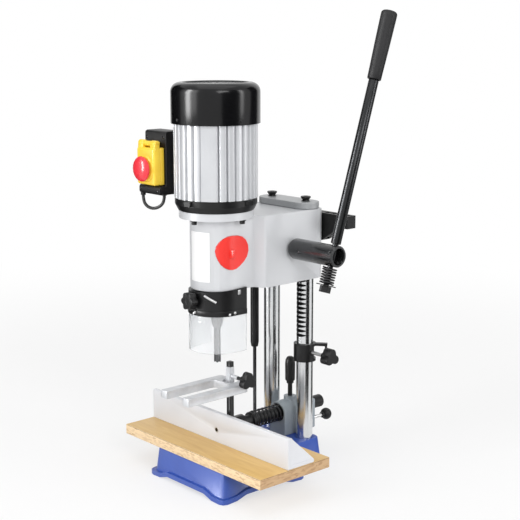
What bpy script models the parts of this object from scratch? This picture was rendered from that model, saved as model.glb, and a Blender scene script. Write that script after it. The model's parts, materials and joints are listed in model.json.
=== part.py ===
"""Benchtop mortiser: cast base, two columns, sliding motor head, rack lever, fence and hold-down."""
import math

import bmesh
import bpy
import numpy
from mathutils import Matrix, Vector

# Common fits
clearance = 0.0003
overrun = 0.004
thin_edge = 0.0008
small_edge = 0.0015
round_sides = 20
fine_sides = 28
small_sides = 12

# Spindle axis is x = 0, y = 0 and the bench is z = 0 in the working frame

# Base casting
base_half_width = 0.087
base_front = -0.0615
block_back = 0.100
neck_half_width = 0.060
neck_back = 0.178
base_height = 0.0476
base_draft = 0.004
base_corner = 0.010
base_wall = 0.006
base_roof = 0.008
lip_depth = 0.006
lip_height = 0.008
arch_rise = 0.007
foot_length = 0.026
arch_step = 0.010
lip_spacing = 0.018

# Work table board
table_length = 0.350
table_thickness = 0.0168
table_front = -0.0621
table_depth = 0.1485

# Columns and tie plate
column_half_spacing = 0.0414
column_y = 0.1585
column_radius = 0.0143
socket_floor = 0.010
socket_boss_radius = 0.0185
plate_low = 0.4465
plate_thickness = 0.011
plate_end_radius = 0.0225
bolt_head_radius = 0.008
bolt_head_height = 0.008
bolt_neck_radius = 0.0062
bolt_shank_radius = 0.004
bolt_shank_depth = 0.018
bolt_socket_radius = 0.0035
bolt_socket_depth = 0.004

# Rack and pinion
gear_module = 0.0025
pinion_teeth = 30
pressure_angle = math.radians(20)
backlash = 0.00035
root_share = 1.25
rack_gaps_below = 20
rack_gaps_above = 5
rack_face = 0.030
pinion_face = 0.018
pinion_half_gap = 0.0012
hub_drop = 0.0587

# Head casting
head_low = 0.329
head_high = 0.4462
housing_radius = 0.043
housing_side_back = 0.040
head_half_width = 0.0625
head_box_front = 0.050
head_back = 0.181
head_corner = 0.010
head_flare = 0.006
head_wall = 0.005
head_roof = 0.0062
flange_radius = 0.060
flange_low = 0.444
flange_high = 0.456
column_boss_radius = 0.0190
bush_radius = 0.0166
bush_length = 0.014
bearing_rib_low = 0.012
bearing_rib_width = 0.012
bearing_rib_half = 0.016

# Motor
motor_flange_radius = 0.061
motor_flange_top_radius = 0.066
motor_flange_height = 0.0198
motor_lug_reach = 0.0705
motor_lug_width = 0.013
motor_lug_height = 0.009
motor_lug_turn = math.radians(10)
motor_radius = 0.067
motor_rib_depth = 0.0032
motor_ribs = 30
motor_bore = 0.0575
motor_low = 0.4764
motor_high = 0.5965
stator_inner = 0.040
stator_end_gap = 0.012
rotor_radius = 0.0394
rotor_shaft_radius = 0.0085
bearing_radius = 0.0175
bearing_width = 0.011
carrier_thickness = 0.006
cap_radius = 0.071
cap_low = 0.5934
cap_high = 0.6572
cap_shoulder = 0.015
cap_disc_radius = 0.051
cap_disc_recess = 0.0022
cap_slots = 16
cap_slot_inner = 0.018
cap_slot_outer = 0.044
cap_slot_width = 0.0022
fan_radius = 0.056
fan_hub_radius = 0.016
fan_low = 0.6045
fan_height = 0.018
fan_plate = 0.002
fan_blades = 8
fan_blade_thickness = 0.002

# Chuck, auger bit and hollow chisel
chuck_radius = 0.0205
chuck_low = 0.3385
chuck_high = 0.388
chuck_nose_radius = 0.0085
chuck_sleeve_radius = 0.0225
chuck_key_radius = 0.003
auger_radius = 0.0029
auger_core = 0.0015
auger_tip = 0.2008
auger_flute_top = 0.300
auger_turns = 6
auger_shank = 0.0027
chisel_size = 0.0079
chisel_bore = 0.0033
chisel_tip = 0.2028
chisel_shoulder_low = 0.261
chisel_shoulder_high = 0.2785
chisel_shoulder_radius = 0.0104
chisel_shoulder_foot = 0.0075
chisel_shank_radius = 0.0095
chisel_shank_top = 0.322
chisel_slot_width = 0.0036
chisel_slot_low = 0.217
chisel_slot_high = 0.257
chisel_hollow_depth = 0.0045

# Chisel holder, guard and clamp knob
holder_radius = 0.0465
holder_back = 0.024
holder_low = 0.288
holder_high = 0.334
holder_step = 0.2968
holder_step_depth = 0.003
holder_wall = 0.003
holder_web_low = 0.3205
holder_boss_radius = 0.0165
guard_low = 0.2275
clamp_axis = 0.313
clamp_rod_radius = 0.004
clamp_knob_front = -0.063
clamp_knob_depth = 0.013
clamp_knob_radius = 0.0150
clamp_neck_radius = 0.0075
clamp_lobes = 6

# Access door in the housing
door_height = 0.0545
door_width = 0.056
door_mid_y = -0.0055
door_mid_z = 0.3895
door_corner = 0.0239
door_proud = 0.0012
door_grip_width = 0.005
door_grip_height = 0.014
door_grip_reach = 0.0075
door_inset = 0.0035

# Lever
hub_radius = 0.0172
hub_end = 0.168
hub_bore = 0.0128
hub_bore_depth = 0.034
hub_chamfer = 0.004
pinion_shaft_radius = 0.009
pinion_shaft_reach = 0.040
lever_x = 0.155
lever_lean = math.radians(17.8)
lever_radius = 0.0082
lever_top = 0.385
grip_start = 0.286
grip_end = 0.397
grip_low_radius = 0.0112
grip_high_radius = 0.0130
grip_round = 0.004
stud_radius = 0.0045
stud_length = 0.0588
lever_seat_radius = 0.0062
lever_spring_mean = 0.0107
lever_spring_wire = 0.0013
lever_spring_curls = 5
lever_spring_top = 0.0182
lever_spring_length = 0.0285
washer_radius = 0.0160
washer_thickness = 0.0015
nut_radius = 0.0095
nut_length = 0.0105

# Gas strut
strut_x = -0.030
strut_y = 0.108
strut_radius = 0.0073
strut_low = 0.2033
strut_bore = 0.0034
strut_bore_depth = 0.095
strut_rod_radius = 0.003
strut_rod_overlap = 0.020
strut_neck_radius = 0.0058
strut_neck_length = 0.008
strut_foot_radius = 0.0075
strut_foot_height = 0.010

# Fence bracket, keeper and lock handle
shaft_rise = 0.0215
shaft_radius = 0.010
bracket_half_width = 0.0195
bracket_front = 0.1335
bracket_back = 0.205
bracket_arch_radius = 0.0195
bracket_pad_radius = 0.011
bracket_top = 0.1105
bracket_spring_radius = 0.0165
bracket_spring_depth = 0.006
keeper_thickness = 0.004
keeper_half_width = 0.016
keeper_low = 0.0475
keeper_high = 0.0985
keeper_screw_height = 0.0575
keeper_rod_radius = 0.0026
keeper_knob_start = 0.245
keeper_knob_length = 0.017
keeper_knob_radius = 0.0105
keeper_screw_tip = 0.192
lock_y = 0.1635
lock_rod_radius = 0.0034
lock_grip_radius = 0.0085
lock_grip_low = 0.136
lock_grip_high = 0.181
lock_step_height = 0.006
lock_step_radius = 0.0065
lock_chamfer = 0.0035

# Depth stop
collar_low = 0.1845
collar_high = 0.2150
collar_radius = 0.0190
collar_lug_half = 0.0085
collar_hook_reach = 0.0385
collar_hook_drop = 0.006
collar_hook_thickness = 0.004
stop_axis = 0.2010
stop_rod_radius = 0.0032
stop_neck_start = 0.0755
stop_neck_length = 0.0165
stop_neck_radius = 0.0070
stop_lobe_length = 0.0175
stop_lobe_reach = 0.0152

# Tool holder
tool_left = 0.030
tool_right = 0.116
tool_high = 0.4375
tool_low = 0.391
tool_block = 0.020
tool_block_height = 0.021
tool_depth = 0.019
tool_slot = 0.0095
tool_slot_gap = 0.0052
tool_slots = 4

# Switch
box_left = -0.1325
box_right = -0.0765
box_front = -0.041
box_back = -0.006
box_low = 0.474
box_high = 0.5765
box_round = 0.004
box_edge = 0.002
box_foot_front = -0.055
box_foot_high = 0.4885
frame_left = -0.1275
frame_right = -0.0805
frame_low = 0.490
frame_high = 0.5505
frame_depth = 0.0085
lid_depth = 0.0125
lid_wall = 0.002
lid_hinge_height = 0.5570
lid_hinge_radius = 0.0042
lid_lug_width = 0.009
lid_lug_gap = 0.0005
stop_knob_radius = 0.0208
stop_knob_drop = 0.00375
stop_knob_depth = 0.0085
stop_knob_gap = 0.0065
stop_stem_radius = 0.0075
button_radius = 0.0065
button_reach = 0.0045
button_spacing = 0.0235
bracket_plate_thickness = 0.004
bracket_plate_rise = 0.030
gland_radius = 0.0042
gland_length = 0.004
lead_radius = 0.0026

# Fence and hold-down
fence_inset = 0.001
fence_front = -0.0033
fence_height = 0.0508
fence_foot_back = 0.0527
fence_foot_height = 0.0064
fence_thickness = 0.0085
fence_gusset = 0.005
fence_mid_gusset = 0.030
fence_top_round = 0.002
fence_boss_radius = 0.0155
fence_boss_depth = 0.008
fence_screw_radius = 0.0030
fence_screw_head = 0.0052
fence_screw_head_depth = 0.003
shaft_collar_radius = 0.0140
shaft_collar_start = 0.0700
shaft_collar_width = 0.0040
shaft_cap_length = 0.0275
shaft_cap_radius = 0.0112
shaft_end = 0.2300
fence_spring_mean = 0.0136
fence_spring_wire = 0.00135
fence_spring_curls = 7
post_y = 0.0270
post_size = 0.0090
post_top = 0.1980
post_ring_radius = 0.0145
post_ring_end = 0.0530
post_ring_start = 0.0200
fork_low = 0.1520
fork_high = 0.1650
fork_half_width = 0.0365
fork_arm_width = 0.0165
fork_tip = -0.0900
fork_bridge_front = 0.0100
fork_back = 0.0375
fork_corner = 0.008
fork_boss_radius = 0.0128
fork_boss_top = 0.1840
fork_screw_height = 0.1735
fork_screw_radius = 0.0030
fork_knob_start = 0.0382
fork_knob_length = 0.0120
fork_knob_reach = 0.0152
fork_neck_radius = 0.0060

# Shapes given as shares of the sizes that they follow
door_shares = [(0.004, 0.087), (0.203, 0.072), (0.047, -0.045)]
rib_shares = [(0.0, 0.0), (0.32, 0.0), (0.46, 1.0), (0.86, 1.0)]
chuck_shares = (0.62, 0.60, 0.26)
flank_shares = (0.0, 0.5, 1.0)
dome_shares = [(0.35, 0.98), (0.65, 0.88), (0.88, 0.62), (0.98, 0.3)]
lead_shares = [(0.0, 0.15), (0.055, 0.58), (0.22, 0.89), (0.46, 1.0), (0.72, 0.89), (0.925, 0.58),
               (1.0, 0.15)]
lobe_shapes = {3: (0.36, 0.31), 6: (0.24, 0.70)}
throat_share = 0.85
point_share = 0.15
mouth_share = 0.58
gap_share = 2.0
spring_steps = 8
flute_steps = 6
millimetres = 1000
weld_distance = 0.000002

head_edge = 0.0035
box_cavity_front = 0.053
bearing_boss_wall = 0.004
door_reach_in = 0.008
chuck_socket_depth = 0.016
chuck_bit_depth = 0.018
spindle_nose_radius = 0.006
lever_seat_low = 0.006
collar_flange = 0.0045
collar_hook_turn = math.radians(40)
arm_round = 0.003
fork_neck_start = 0.031
lead_ends = [(-0.1285, -0.0495), (-0.0975, -0.0300)]
lead_drop = 0.0213
lead_points = 20
button_travel = 0.003

hub_height = head_high - hub_drop
fence_half_length = table_length / 2 - fence_inset
shaft_start = fence_front + fence_thickness + fence_boss_depth + clearance
shaft_cap_start = bracket_back + keeper_thickness + 2 * clearance
centre_y = (keeper_knob_start + keeper_knob_length + fork_tip) / 2
table_top = base_height + clearance + table_thickness
shaft_height = table_top + shaft_rise
stop_knob_height = (frame_low + frame_high) / 2 - stop_knob_drop
plate_high = plate_low + plate_thickness
pitch_radius = gear_module * pinion_teeth / 2
tooth_pitch = math.pi * gear_module
rack_pitch_depth = column_radius - gear_module
hub_y = column_y - rack_pitch_depth - pitch_radius
motor_flange_low = flange_high + clearance
bearing_low = motor_flange_low + carrier_thickness
lever_axis = Vector((0, math.sin(lever_lean), math.cos(lever_lean)))

paint_grey = ((0.66, 0.67, 0.68), 0.42, 0.0)
paint_blue = ((0.045, 0.10, 0.52), 0.40, 0.0)
black_plastic = ((0.012, 0.012, 0.013), 0.38, 0.0)
black_steel = ((0.02, 0.02, 0.022), 0.30, 0.6)
chrome = ((0.82, 0.82, 0.83), 0.14, 1.0)
steel = ((0.55, 0.55, 0.56), 0.28, 1.0)
cast_aluminium = ((0.70, 0.71, 0.72), 0.45, 0.8)
grey_casting = ((0.28, 0.31, 0.34), 0.45, 0.2)
red_plastic = ((0.80, 0.03, 0.03), 0.35, 0.0)
yellow_plastic = ((0.95, 0.55, 0.03), 0.35, 0.0)
green_plastic = ((0.02, 0.35, 0.06), 0.35, 0.0)
clear_plastic = ((0.85, 0.88, 0.90), 0.12, 0.0)
table_laminate = ((0.78, 0.48, 0.13), 0.45, 0.0)
fence_paint = ((0.72, 0.74, 0.76), 0.45, 0.0)
black_gloss = ((0.006, 0.006, 0.007), 0.12, 0.0)
bronze = ((0.45, 0.27, 0.10), 0.35, 1.0)
copper = ((0.60, 0.28, 0.13), 0.40, 1.0)
rubber = ((0.015, 0.015, 0.015), 0.6, 0.0)


def make_material(name, look):
    """Give a piece its own Principled material."""
    colour, roughness, metallic = look
    material = bpy.data.materials.new(name)
    material.use_nodes = True
    shader = material.node_tree.nodes["Principled BSDF"]
    shader.inputs["Base Color"].default_value = (*colour, 1)
    shader.inputs["Roughness"].default_value = roughness
    shader.inputs["Metallic"].default_value = metallic
    material.diffuse_color = (*colour, 1)
    return material


def new_object(name, mesh):
    """Link a mesh object to the collection of parts."""
    piece = bpy.data.objects.new(name, mesh)
    parts.objects.link(piece)
    return piece


def from_bmesh(name, bm):
    """Turn a bmesh into a linked object."""
    bmesh.ops.recalc_face_normals(bm, faces=bm.faces)
    mesh = bpy.data.meshes.new(name)
    bm.to_mesh(mesh)
    bm.free()
    return new_object(name, mesh)


def bake(piece):
    """Replace an object by its evaluated mesh."""
    graph = bpy.context.evaluated_depsgraph_get()
    mesh = bpy.data.meshes.new_from_object(piece.evaluated_get(graph))
    bm = bmesh.new()
    bm.from_mesh(mesh)
    bmesh.ops.remove_doubles(bm, verts=bm.verts, dist=weld_distance)
    bm.to_mesh(mesh)
    bm.free()
    name = piece.name
    place = piece.matrix_world.copy()
    bpy.data.objects.remove(piece)
    baked = new_object(name, mesh)
    mesh.transform(place)
    return baked


def combine(piece, tools, operation):
    """Cut, join or intersect a piece with other solids and drop those."""
    for tool in tools:
        modifier = piece.modifiers.new(operation.lower(), "BOOLEAN")
        modifier.object = tool
        modifier.operation = operation
        modifier.solver = "EXACT"
    bpy.context.view_layer.update()
    piece = bake(piece)
    for tool in tools:
        bpy.data.objects.remove(tool)
    return piece


def cut(piece, *tools):
    """Take the tools out of the piece."""
    return combine(piece, tools, "DIFFERENCE")


def join(piece, *tools):
    """Fuse the tools with the piece."""
    return combine(piece, tools, "UNION")


def box(name, x, y, z, edge=0):
    """A box between the given limits, with bevelled edges where edge is given."""
    bm = bmesh.new()
    bmesh.ops.create_cube(bm, size=1)
    size = Vector((x[1] - x[0], y[1] - y[0], z[1] - z[0]))
    middle = Vector((x[1] + x[0], y[1] + y[0], z[1] + z[0])) / 2
    bmesh.ops.transform(bm, matrix=Matrix.Translation(middle) @ Matrix.Diagonal((*size, 1)), verts=bm.verts)
    piece = from_bmesh(name, bm)
    if edge:
        bevel = piece.modifiers.new("edge", "BEVEL")
        bevel.width = edge
        bevel.segments = 2
        piece = bake(piece)
    return piece


def rod(name, radius, start, end, sides=round_sides, end_radius=None):
    """A round bar or cone from start to end."""
    start = Vector(start)
    way = Vector(end) - start
    bm = bmesh.new()
    last = radius if end_radius is None else end_radius
    bmesh.ops.create_cone(bm, cap_ends=True, segments=sides, radius1=radius, radius2=last, depth=way.length)
    turn = Vector((0, 0, 1)).rotation_difference(way).to_matrix().to_4x4()
    bmesh.ops.transform(bm, matrix=Matrix.Translation(start + way / 2) @ turn, verts=bm.verts)
    return from_bmesh(name, bm)


def turned(name, profile, steps=round_sides, start=(0, 0, 0), way=(0, 0, 1)):
    """Turn a profile of (radius, height) points about a line through start."""
    bm = bmesh.new()
    corners = [bm.verts.new((radius, 0, height)) for radius, height in profile]
    for first, second in zip(corners, corners[1:]):
        bm.edges.new((first, second))
    if profile[0][0] > 0 or profile[-1][0] > 0:
        bm.edges.new((corners[-1], corners[0]))
    mesh = bpy.data.meshes.new(name)
    bm.to_mesh(mesh)
    bm.free()
    piece = new_object(name, mesh)
    screw = piece.modifiers.new("turn", "SCREW")
    screw.steps = steps
    screw.render_steps = steps
    screw.use_merge_vertices = True
    screw.merge_threshold = weld_distance
    screw.use_normal_calculate = True
    turn = Vector((0, 0, 1)).rotation_difference(Vector(way)).to_matrix().to_4x4()
    piece.matrix_world = Matrix.Translation(start) @ turn
    bpy.context.view_layer.update()
    piece = bake(piece)
    bm = bmesh.new()
    bm.from_mesh(piece.data)
    bmesh.ops.recalc_face_normals(bm, faces=bm.faces)
    bm.to_mesh(piece.data)
    bm.free()
    return piece


def slab(name, outlines, low, high, axis="Z"):
    """Extrude flat outlines, given in the two axes other than the extrusion axis."""
    curve = bpy.data.curves.new(name, "CURVE")
    curve.dimensions = "2D"
    curve.fill_mode = "BOTH"
    curve.extrude = (high - low) / 2
    for outline in outlines:
        spline = curve.splines.new("POLY")
        spline.points.add(len(outline) - 1)
        for point, (first, second) in zip(spline.points, outline):
            place = (second, first) if axis == "Y" else (first, second)
            point.co = (*place, 0, 1)
        spline.use_cyclic_u = True
    piece = bpy.data.objects.new(name, curve)
    parts.objects.link(piece)
    columns = {"Z": ((1, 0, 0), (0, 1, 0), (0, 0, 1)),
               "X": ((0, 1, 0), (0, 0, 1), (1, 0, 0)),
               "Y": ((0, 0, 1), (1, 0, 0), (0, 1, 0))}[axis]
    turn = Matrix(columns).transposed().to_4x4()
    middle = Vector(columns[2]) * (low + high) / 2
    piece.matrix_world = Matrix.Translation(middle) @ turn
    bpy.context.view_layer.update()
    return bake(piece)


def circle(radius, count=round_sides, middle=(0, 0), start=0):
    """Points of a round outline."""
    turns = [start + 2 * math.pi * step / count for step in range(count)]
    return [(middle[0] + radius * math.cos(turn), middle[1] + radius * math.sin(turn)) for turn in turns]


def roomy(radius, sides):
    """Corner radius of a many-sided hole whose flats are a radius away."""
    return radius / math.cos(math.pi / sides)


def arc(middle, radius, first, last, steps):
    """Points of an arc between two angles in degrees."""
    turns = [math.radians(first + (last - first) * step / steps) for step in range(steps + 1)]
    return [(middle[0] + radius * math.cos(turn), middle[1] + radius * math.sin(turn)) for turn in turns]


def rounded(corners, radius, steps=5):
    """Round the corners of a polygon; each corner may carry its own radius."""
    outline = []
    count = len(corners)
    for index in range(count):
        here = Vector(corners[index][:2])
        size = corners[index][2] if len(corners[index]) > 2 else radius
        before = (Vector(corners[index - 1][:2]) - here).normalized()
        after = (Vector(corners[(index + 1) % count][:2]) - here).normalized()
        if size == 0:
            outline.append(tuple(here))
            continue
        half = before.angle(after) / 2
        run = size / math.tan(half)
        middle = here + (before + after).normalized() * size / math.sin(half)
        first = here + before * run - middle
        last = here + after * run - middle
        sweep = first.angle_signed(last)
        for step in range(steps + 1):
            turn = Matrix.Rotation(-sweep * step / steps, 2)
            outline.append(tuple(middle + turn @ first))
    return outline


def banded(centres, radius, steps):
    """Outline of a taut band round equal circles, given in clockwise order."""
    outline = []
    count = len(centres)
    for index in range(count):
        here = Vector(centres[index])
        came = here - Vector(centres[index - 1])
        goes = Vector(centres[(index + 1) % count]) - here
        start = math.atan2(came.x, -came.y)
        sweep = (math.atan2(goes.x, -goes.y) - start) % (2 * math.pi) - 2 * math.pi
        for step in range(steps + 1):
            turn = start + sweep * step / steps
            outline.append((here.x + radius * math.cos(turn), here.y + radius * math.sin(turn)))
    return outline


def loft(name, loops, closed=False):
    """Skin equal loops of points, capped at both ends or closed into a ring."""
    bm = bmesh.new()
    rows = [[bm.verts.new(point) for point in loop] for loop in loops]
    pairs = list(zip(rows, rows[1:]))
    if closed:
        pairs.append((rows[-1], rows[0]))
    for low, high in pairs:
        for index in range(len(low)):
            bm.faces.new((low[index - 1], low[index], high[index], high[index - 1]))
    if not closed:
        bm.faces.new(rows[0])
        bm.faces.new(rows[-1])
    return from_bmesh(name, bm)


def lobed(radius, lobes, middle, start, count=4):
    """Outline of a knob with round lobes around its middle."""
    lobe_share, waist_share = lobe_shapes[lobes]
    lobe = radius * lobe_share
    reach = radius - lobe
    outline = []
    for index in range(lobes):
        turn = start + 360 * index / lobes
        heading = math.radians(turn)
        tip = (middle[0] + reach * math.cos(heading), middle[1] + reach * math.sin(heading))
        outline += arc(tip, lobe, turn - 85, turn + 85, count)
        between = math.radians(turn + 180 / lobes)
        waist = radius * waist_share
        outline.append((middle[0] + waist * math.cos(between), middle[1] + waist * math.sin(between)))
    return outline


def lobed_knob(name, radius, lobes, middle, start, low, high, axis):
    """A chamfered knob with round lobes, its outline in the two axes other than its own."""
    loops = []
    for place, size in ((low, radius - small_edge), (low + small_edge, radius), (high - small_edge, radius),
                        (high, radius - small_edge)):
        outline = lobed(size, lobes, middle, start)
        if axis == "X":
            loops.append([(place, first, second) for first, second in outline])
        else:
            loops.append([(first, place, second) for first, second in outline])
    return loft(name, loops)


def tube(name, points, radius, resolution=1):
    """A round wire through the points, with its end caps welded."""
    curve = bpy.data.curves.new(name, "CURVE")
    curve.dimensions = "3D"
    curve.bevel_depth = radius
    curve.bevel_resolution = resolution
    curve.use_fill_caps = True
    spline = curve.splines.new("POLY")
    spline.points.add(len(points) - 1)
    for point, place in zip(spline.points, points):
        point.co = (*place, 1)
    piece = bpy.data.objects.new(name, curve)
    parts.objects.link(piece)
    bpy.context.view_layer.update()
    return bake(piece)


def soften(piece, width, segments=2, limit=40):
    """Bevel the sharp edges of a piece."""
    bevel = piece.modifiers.new("soft", "BEVEL")
    bevel.width = width
    bevel.segments = segments
    bevel.limit_method = "ANGLE"
    bevel.angle_limit = math.radians(limit)
    bevel.use_clamp_overlap = True
    return bake(piece)


def keep(piece, holder, look, name=None):
    """Give a finished piece its material, its shading and its place under its holder."""
    if name:
        piece.name = name
    mesh = piece.data
    mesh.name = piece.name
    mesh.materials.clear()
    mesh.materials.append(make_material(piece.name, look))
    mesh.shade_smooth()
    mesh.set_sharp_from_angle(angle=math.radians(30))
    bpy.context.view_layer.update()
    mesh.transform(Matrix.Translation(-places[holder.name]))
    piece.parent = holder
    return piece


def make_holder(name, place, parent=None):
    """An empty on a joint's axis that carries a moving group."""
    holder = bpy.data.objects.new(name, None)
    parts.objects.link(holder)
    places[name] = Vector(place)
    if parent:
        holder.parent = parent
        holder.location = places[name] - places[parent.name]
    return holder


def spring_points(mean, wire, curls, length, way_lead):
    """Centre line of a coil spring along +Z with straight square ends."""
    steps = curls * spring_steps
    rise = length - 2 * way_lead
    points = []
    for step in range(steps + 1):
        turn = 2 * math.pi * step / spring_steps
        points.append(Vector((mean * math.cos(turn), mean * math.sin(turn), way_lead + rise * step / steps)))
    first = points[0] - Vector((0, 0, way_lead))
    last = points[-1] + Vector((0, 0, way_lead))
    return [first] + points + [last]


def least_gap(name, points, radius):
    """Print the least gap of a wound wire to itself."""
    places_of = numpy.array([tuple(point) for point in points])
    near = 2 * math.pi * radius * gap_share
    runs = numpy.concatenate(([0], numpy.cumsum(numpy.linalg.norm(numpy.diff(places_of, axis=0), axis=1))))
    apart = numpy.linalg.norm(places_of[:, None] - places_of[None], axis=2)
    far = numpy.abs(runs[:, None] - runs[None]) > near
    print(name, "least gap", round(float(apart[far].min() - 2 * radius) * millimetres, 3), "mm")


def base_outline(grow):
    """Plan of the base: a wide block in front and a neck behind, moved outwards by grow."""
    wide = base_half_width + grow
    narrow = neck_half_width + grow
    front = base_front - grow
    step = block_back + grow
    back = neck_back + grow
    corners = [(-wide, front), (wide, front), (wide, step), (narrow, step), (narrow, back),
               (-narrow, back), (-narrow, step), (-wide, step)]
    return rounded(corners, base_corner, 2)


def refined(outline, pattern):
    """Split the runs of an outline as often as those of the pattern need it."""
    points = []
    for index in range(len(outline)):
        following = (index + 1) % len(outline)
        run = (Vector(pattern[following]) - Vector(pattern[index])).length
        pieces = max(1, round(run / lip_spacing))
        for piece in range(pieces):
            points.append(Vector(outline[index]).lerp(Vector(outline[following]), piece / pieces))
    return points


def lip_lift(point):
    """Height of the lip's underside: on the bench at the feet, raised between them."""
    wide = base_half_width + base_draft
    narrow = neck_half_width + base_draft
    step = block_back + base_draft
    feet = [(side * wide, base_front - base_draft) for side in (-1, 1)]
    feet += [(side * wide, step) for side in (-1, 1)]
    feet += [(side * narrow, neck_back + base_draft) for side in (-1, 1)]
    away = min((point - Vector(foot)).length for foot in feet)
    share = min(1, max(0, (away - foot_length) / arch_step))
    return arch_rise * share * share * (3 - 2 * share)


def base_casting():
    """Hollow drafted casting on a lip that arches between its feet, with two column sockets."""
    skirt = arch_rise - clearance
    top = [(x, y, base_height) for x, y in base_outline(0)]
    foot = [(x, y, skirt) for x, y in base_outline(base_draft)]
    casting = loft("base_casting", [foot, top])
    inner_top = [(x, y, base_height - base_roof) for x, y in base_outline(-base_wall)]
    inner_foot = [(x, y, -overrun) for x, y in base_outline(base_draft - base_wall)]
    casting = cut(casting, loft("hollow", [inner_foot, inner_top]))
    pattern = base_outline(base_draft)
    path = refined(pattern, pattern)
    lifts = [lip_lift(point) for point in path]
    loops = []
    for grow, raised in ((base_draft + lip_depth, 0), (base_draft + lip_depth, 1),
                         (base_draft - base_wall / 2, 1), (base_draft - base_wall / 2, 0)):
        edge = refined(base_outline(grow), pattern)
        loops.append([(point.x, point.y, lift + raised * lip_height) for point, lift in zip(edge, lifts)])
    casting = join(casting, loft("lip", loops, closed=True))
    for side in (-1, 1):
        middle = (side * column_half_spacing, column_y)
        boss = rod("boss", socket_boss_radius, (*middle, arch_rise), (*middle, base_height - base_roof / 2))
        casting = join(casting, boss)
        bore = rod("bore", column_radius + clearance, (*middle, socket_floor),
                   (*middle, base_height + overrun))
        casting = cut(casting, bore)
    return casting


def work_table():
    """Laminated board on the base."""
    low = base_height + clearance
    half = table_length / 2
    return box("work_table", (-half, half), (table_front, table_front + table_depth), (low, table_top),
               thin_edge)


def column(name, side):
    """Ground round column standing in its socket, tapped on top for the tie bolt."""
    middle = (side * column_half_spacing, column_y)
    top = plate_low - clearance
    bar = rod(name, column_radius, (*middle, socket_floor + clearance), (*middle, top))
    depth = bolt_shank_depth + overrun
    hole = rod("hole", bolt_shank_radius + clearance, (*middle, top - depth), (*middle, top + overrun),
               small_sides)
    return cut(bar, hole)


def rack_comb():
    """Cutter with the shape of all the gaps between the rack's teeth."""
    pitch_line = column_y - rack_pitch_depth
    skin = pitch_line - gear_module - clearance
    root = pitch_line + gear_module * root_share
    outer = skin - overrun
    slope = math.tan(pressure_angle)
    wide = tooth_pitch / 4 + (pitch_line - skin) * slope
    narrow = tooth_pitch / 4 - (root - pitch_line) * slope
    low = hub_height - (rack_gaps_below + 1) * tooth_pitch
    high = hub_height + (rack_gaps_above + 1) * tooth_pitch
    outline = [(outer, low), (skin, low)]
    for gap in range(-rack_gaps_below, rack_gaps_above + 1):
        middle = hub_height + gap * tooth_pitch
        outline += [(skin, middle - wide), (root, middle - narrow), (root, middle + narrow),
                    (skin, middle + wide)]
    outline += [(skin, high), (outer, high)]
    half = rack_face / 2
    return slab("comb", [outline], column_half_spacing - half, column_half_spacing + half, "X")


def tie_plate():
    """Round-ended plate across the tops of the columns."""
    outline = arc((column_half_spacing, column_y), plate_end_radius, -90, 90, 10)
    outline += arc((-column_half_spacing, column_y), plate_end_radius, 90, 270, 10)
    plate = soften(slab("column_tie_plate", [outline], plate_low, plate_high), small_edge, 1)
    holes = []
    for side in (-1, 1):
        middle = (side * column_half_spacing, column_y)
        hole = rod("hole", bolt_shank_radius + clearance, (*middle, plate_low - overrun),
                   (*middle, plate_high + overrun), small_sides)
        holes.append(hole)
    return cut(plate, *holes)


def tie_bolt(name, side):
    """Socket head bolt through the tie plate into the column."""
    foot = -plate_thickness - bolt_shank_depth
    profile = [(0, bolt_head_height - bolt_socket_depth),
               (bolt_socket_radius, bolt_head_height - bolt_socket_depth),
               (bolt_socket_radius, bolt_head_height), (bolt_head_radius, bolt_head_height),
               (bolt_head_radius, bolt_head_height / 2), (bolt_neck_radius, 0), (bolt_shank_radius, 0),
               (bolt_shank_radius, foot), (0, foot)]
    start = (side * column_half_spacing, column_y, plate_high + clearance)
    return turned(name, profile, small_sides, start)


def head_outline(grow):
    """Plan of the head: round housing in front that flares into the column box behind."""
    radius = housing_radius + grow
    half = head_half_width + grow
    front = head_box_front - grow
    back = head_back + grow
    corners = [(x, y, 0) for x, y in arc((0, 0), radius, 180, 360, 16)]
    corners += [(radius, housing_side_back, head_flare), (half, front, head_flare), (half, back),
                (-half, back), (-half, front, head_flare), (-radius, housing_side_back, head_flare)]
    return rounded(corners, head_corner, 2)


def housing_outline(radius, back):
    """Round front with straight sides back to a line."""
    return arc((0, 0), radius, 180, 360, 12) + [(radius, back), (-radius, back)]


def door_outline(grow):
    """Rounded three-sided outline of the access door, in Y and Z."""
    centres = [(door_mid_y + across * door_width, door_mid_z + up * door_height) for across,
               up in door_shares]
    return banded(centres, door_corner + grow, 6)


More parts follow.
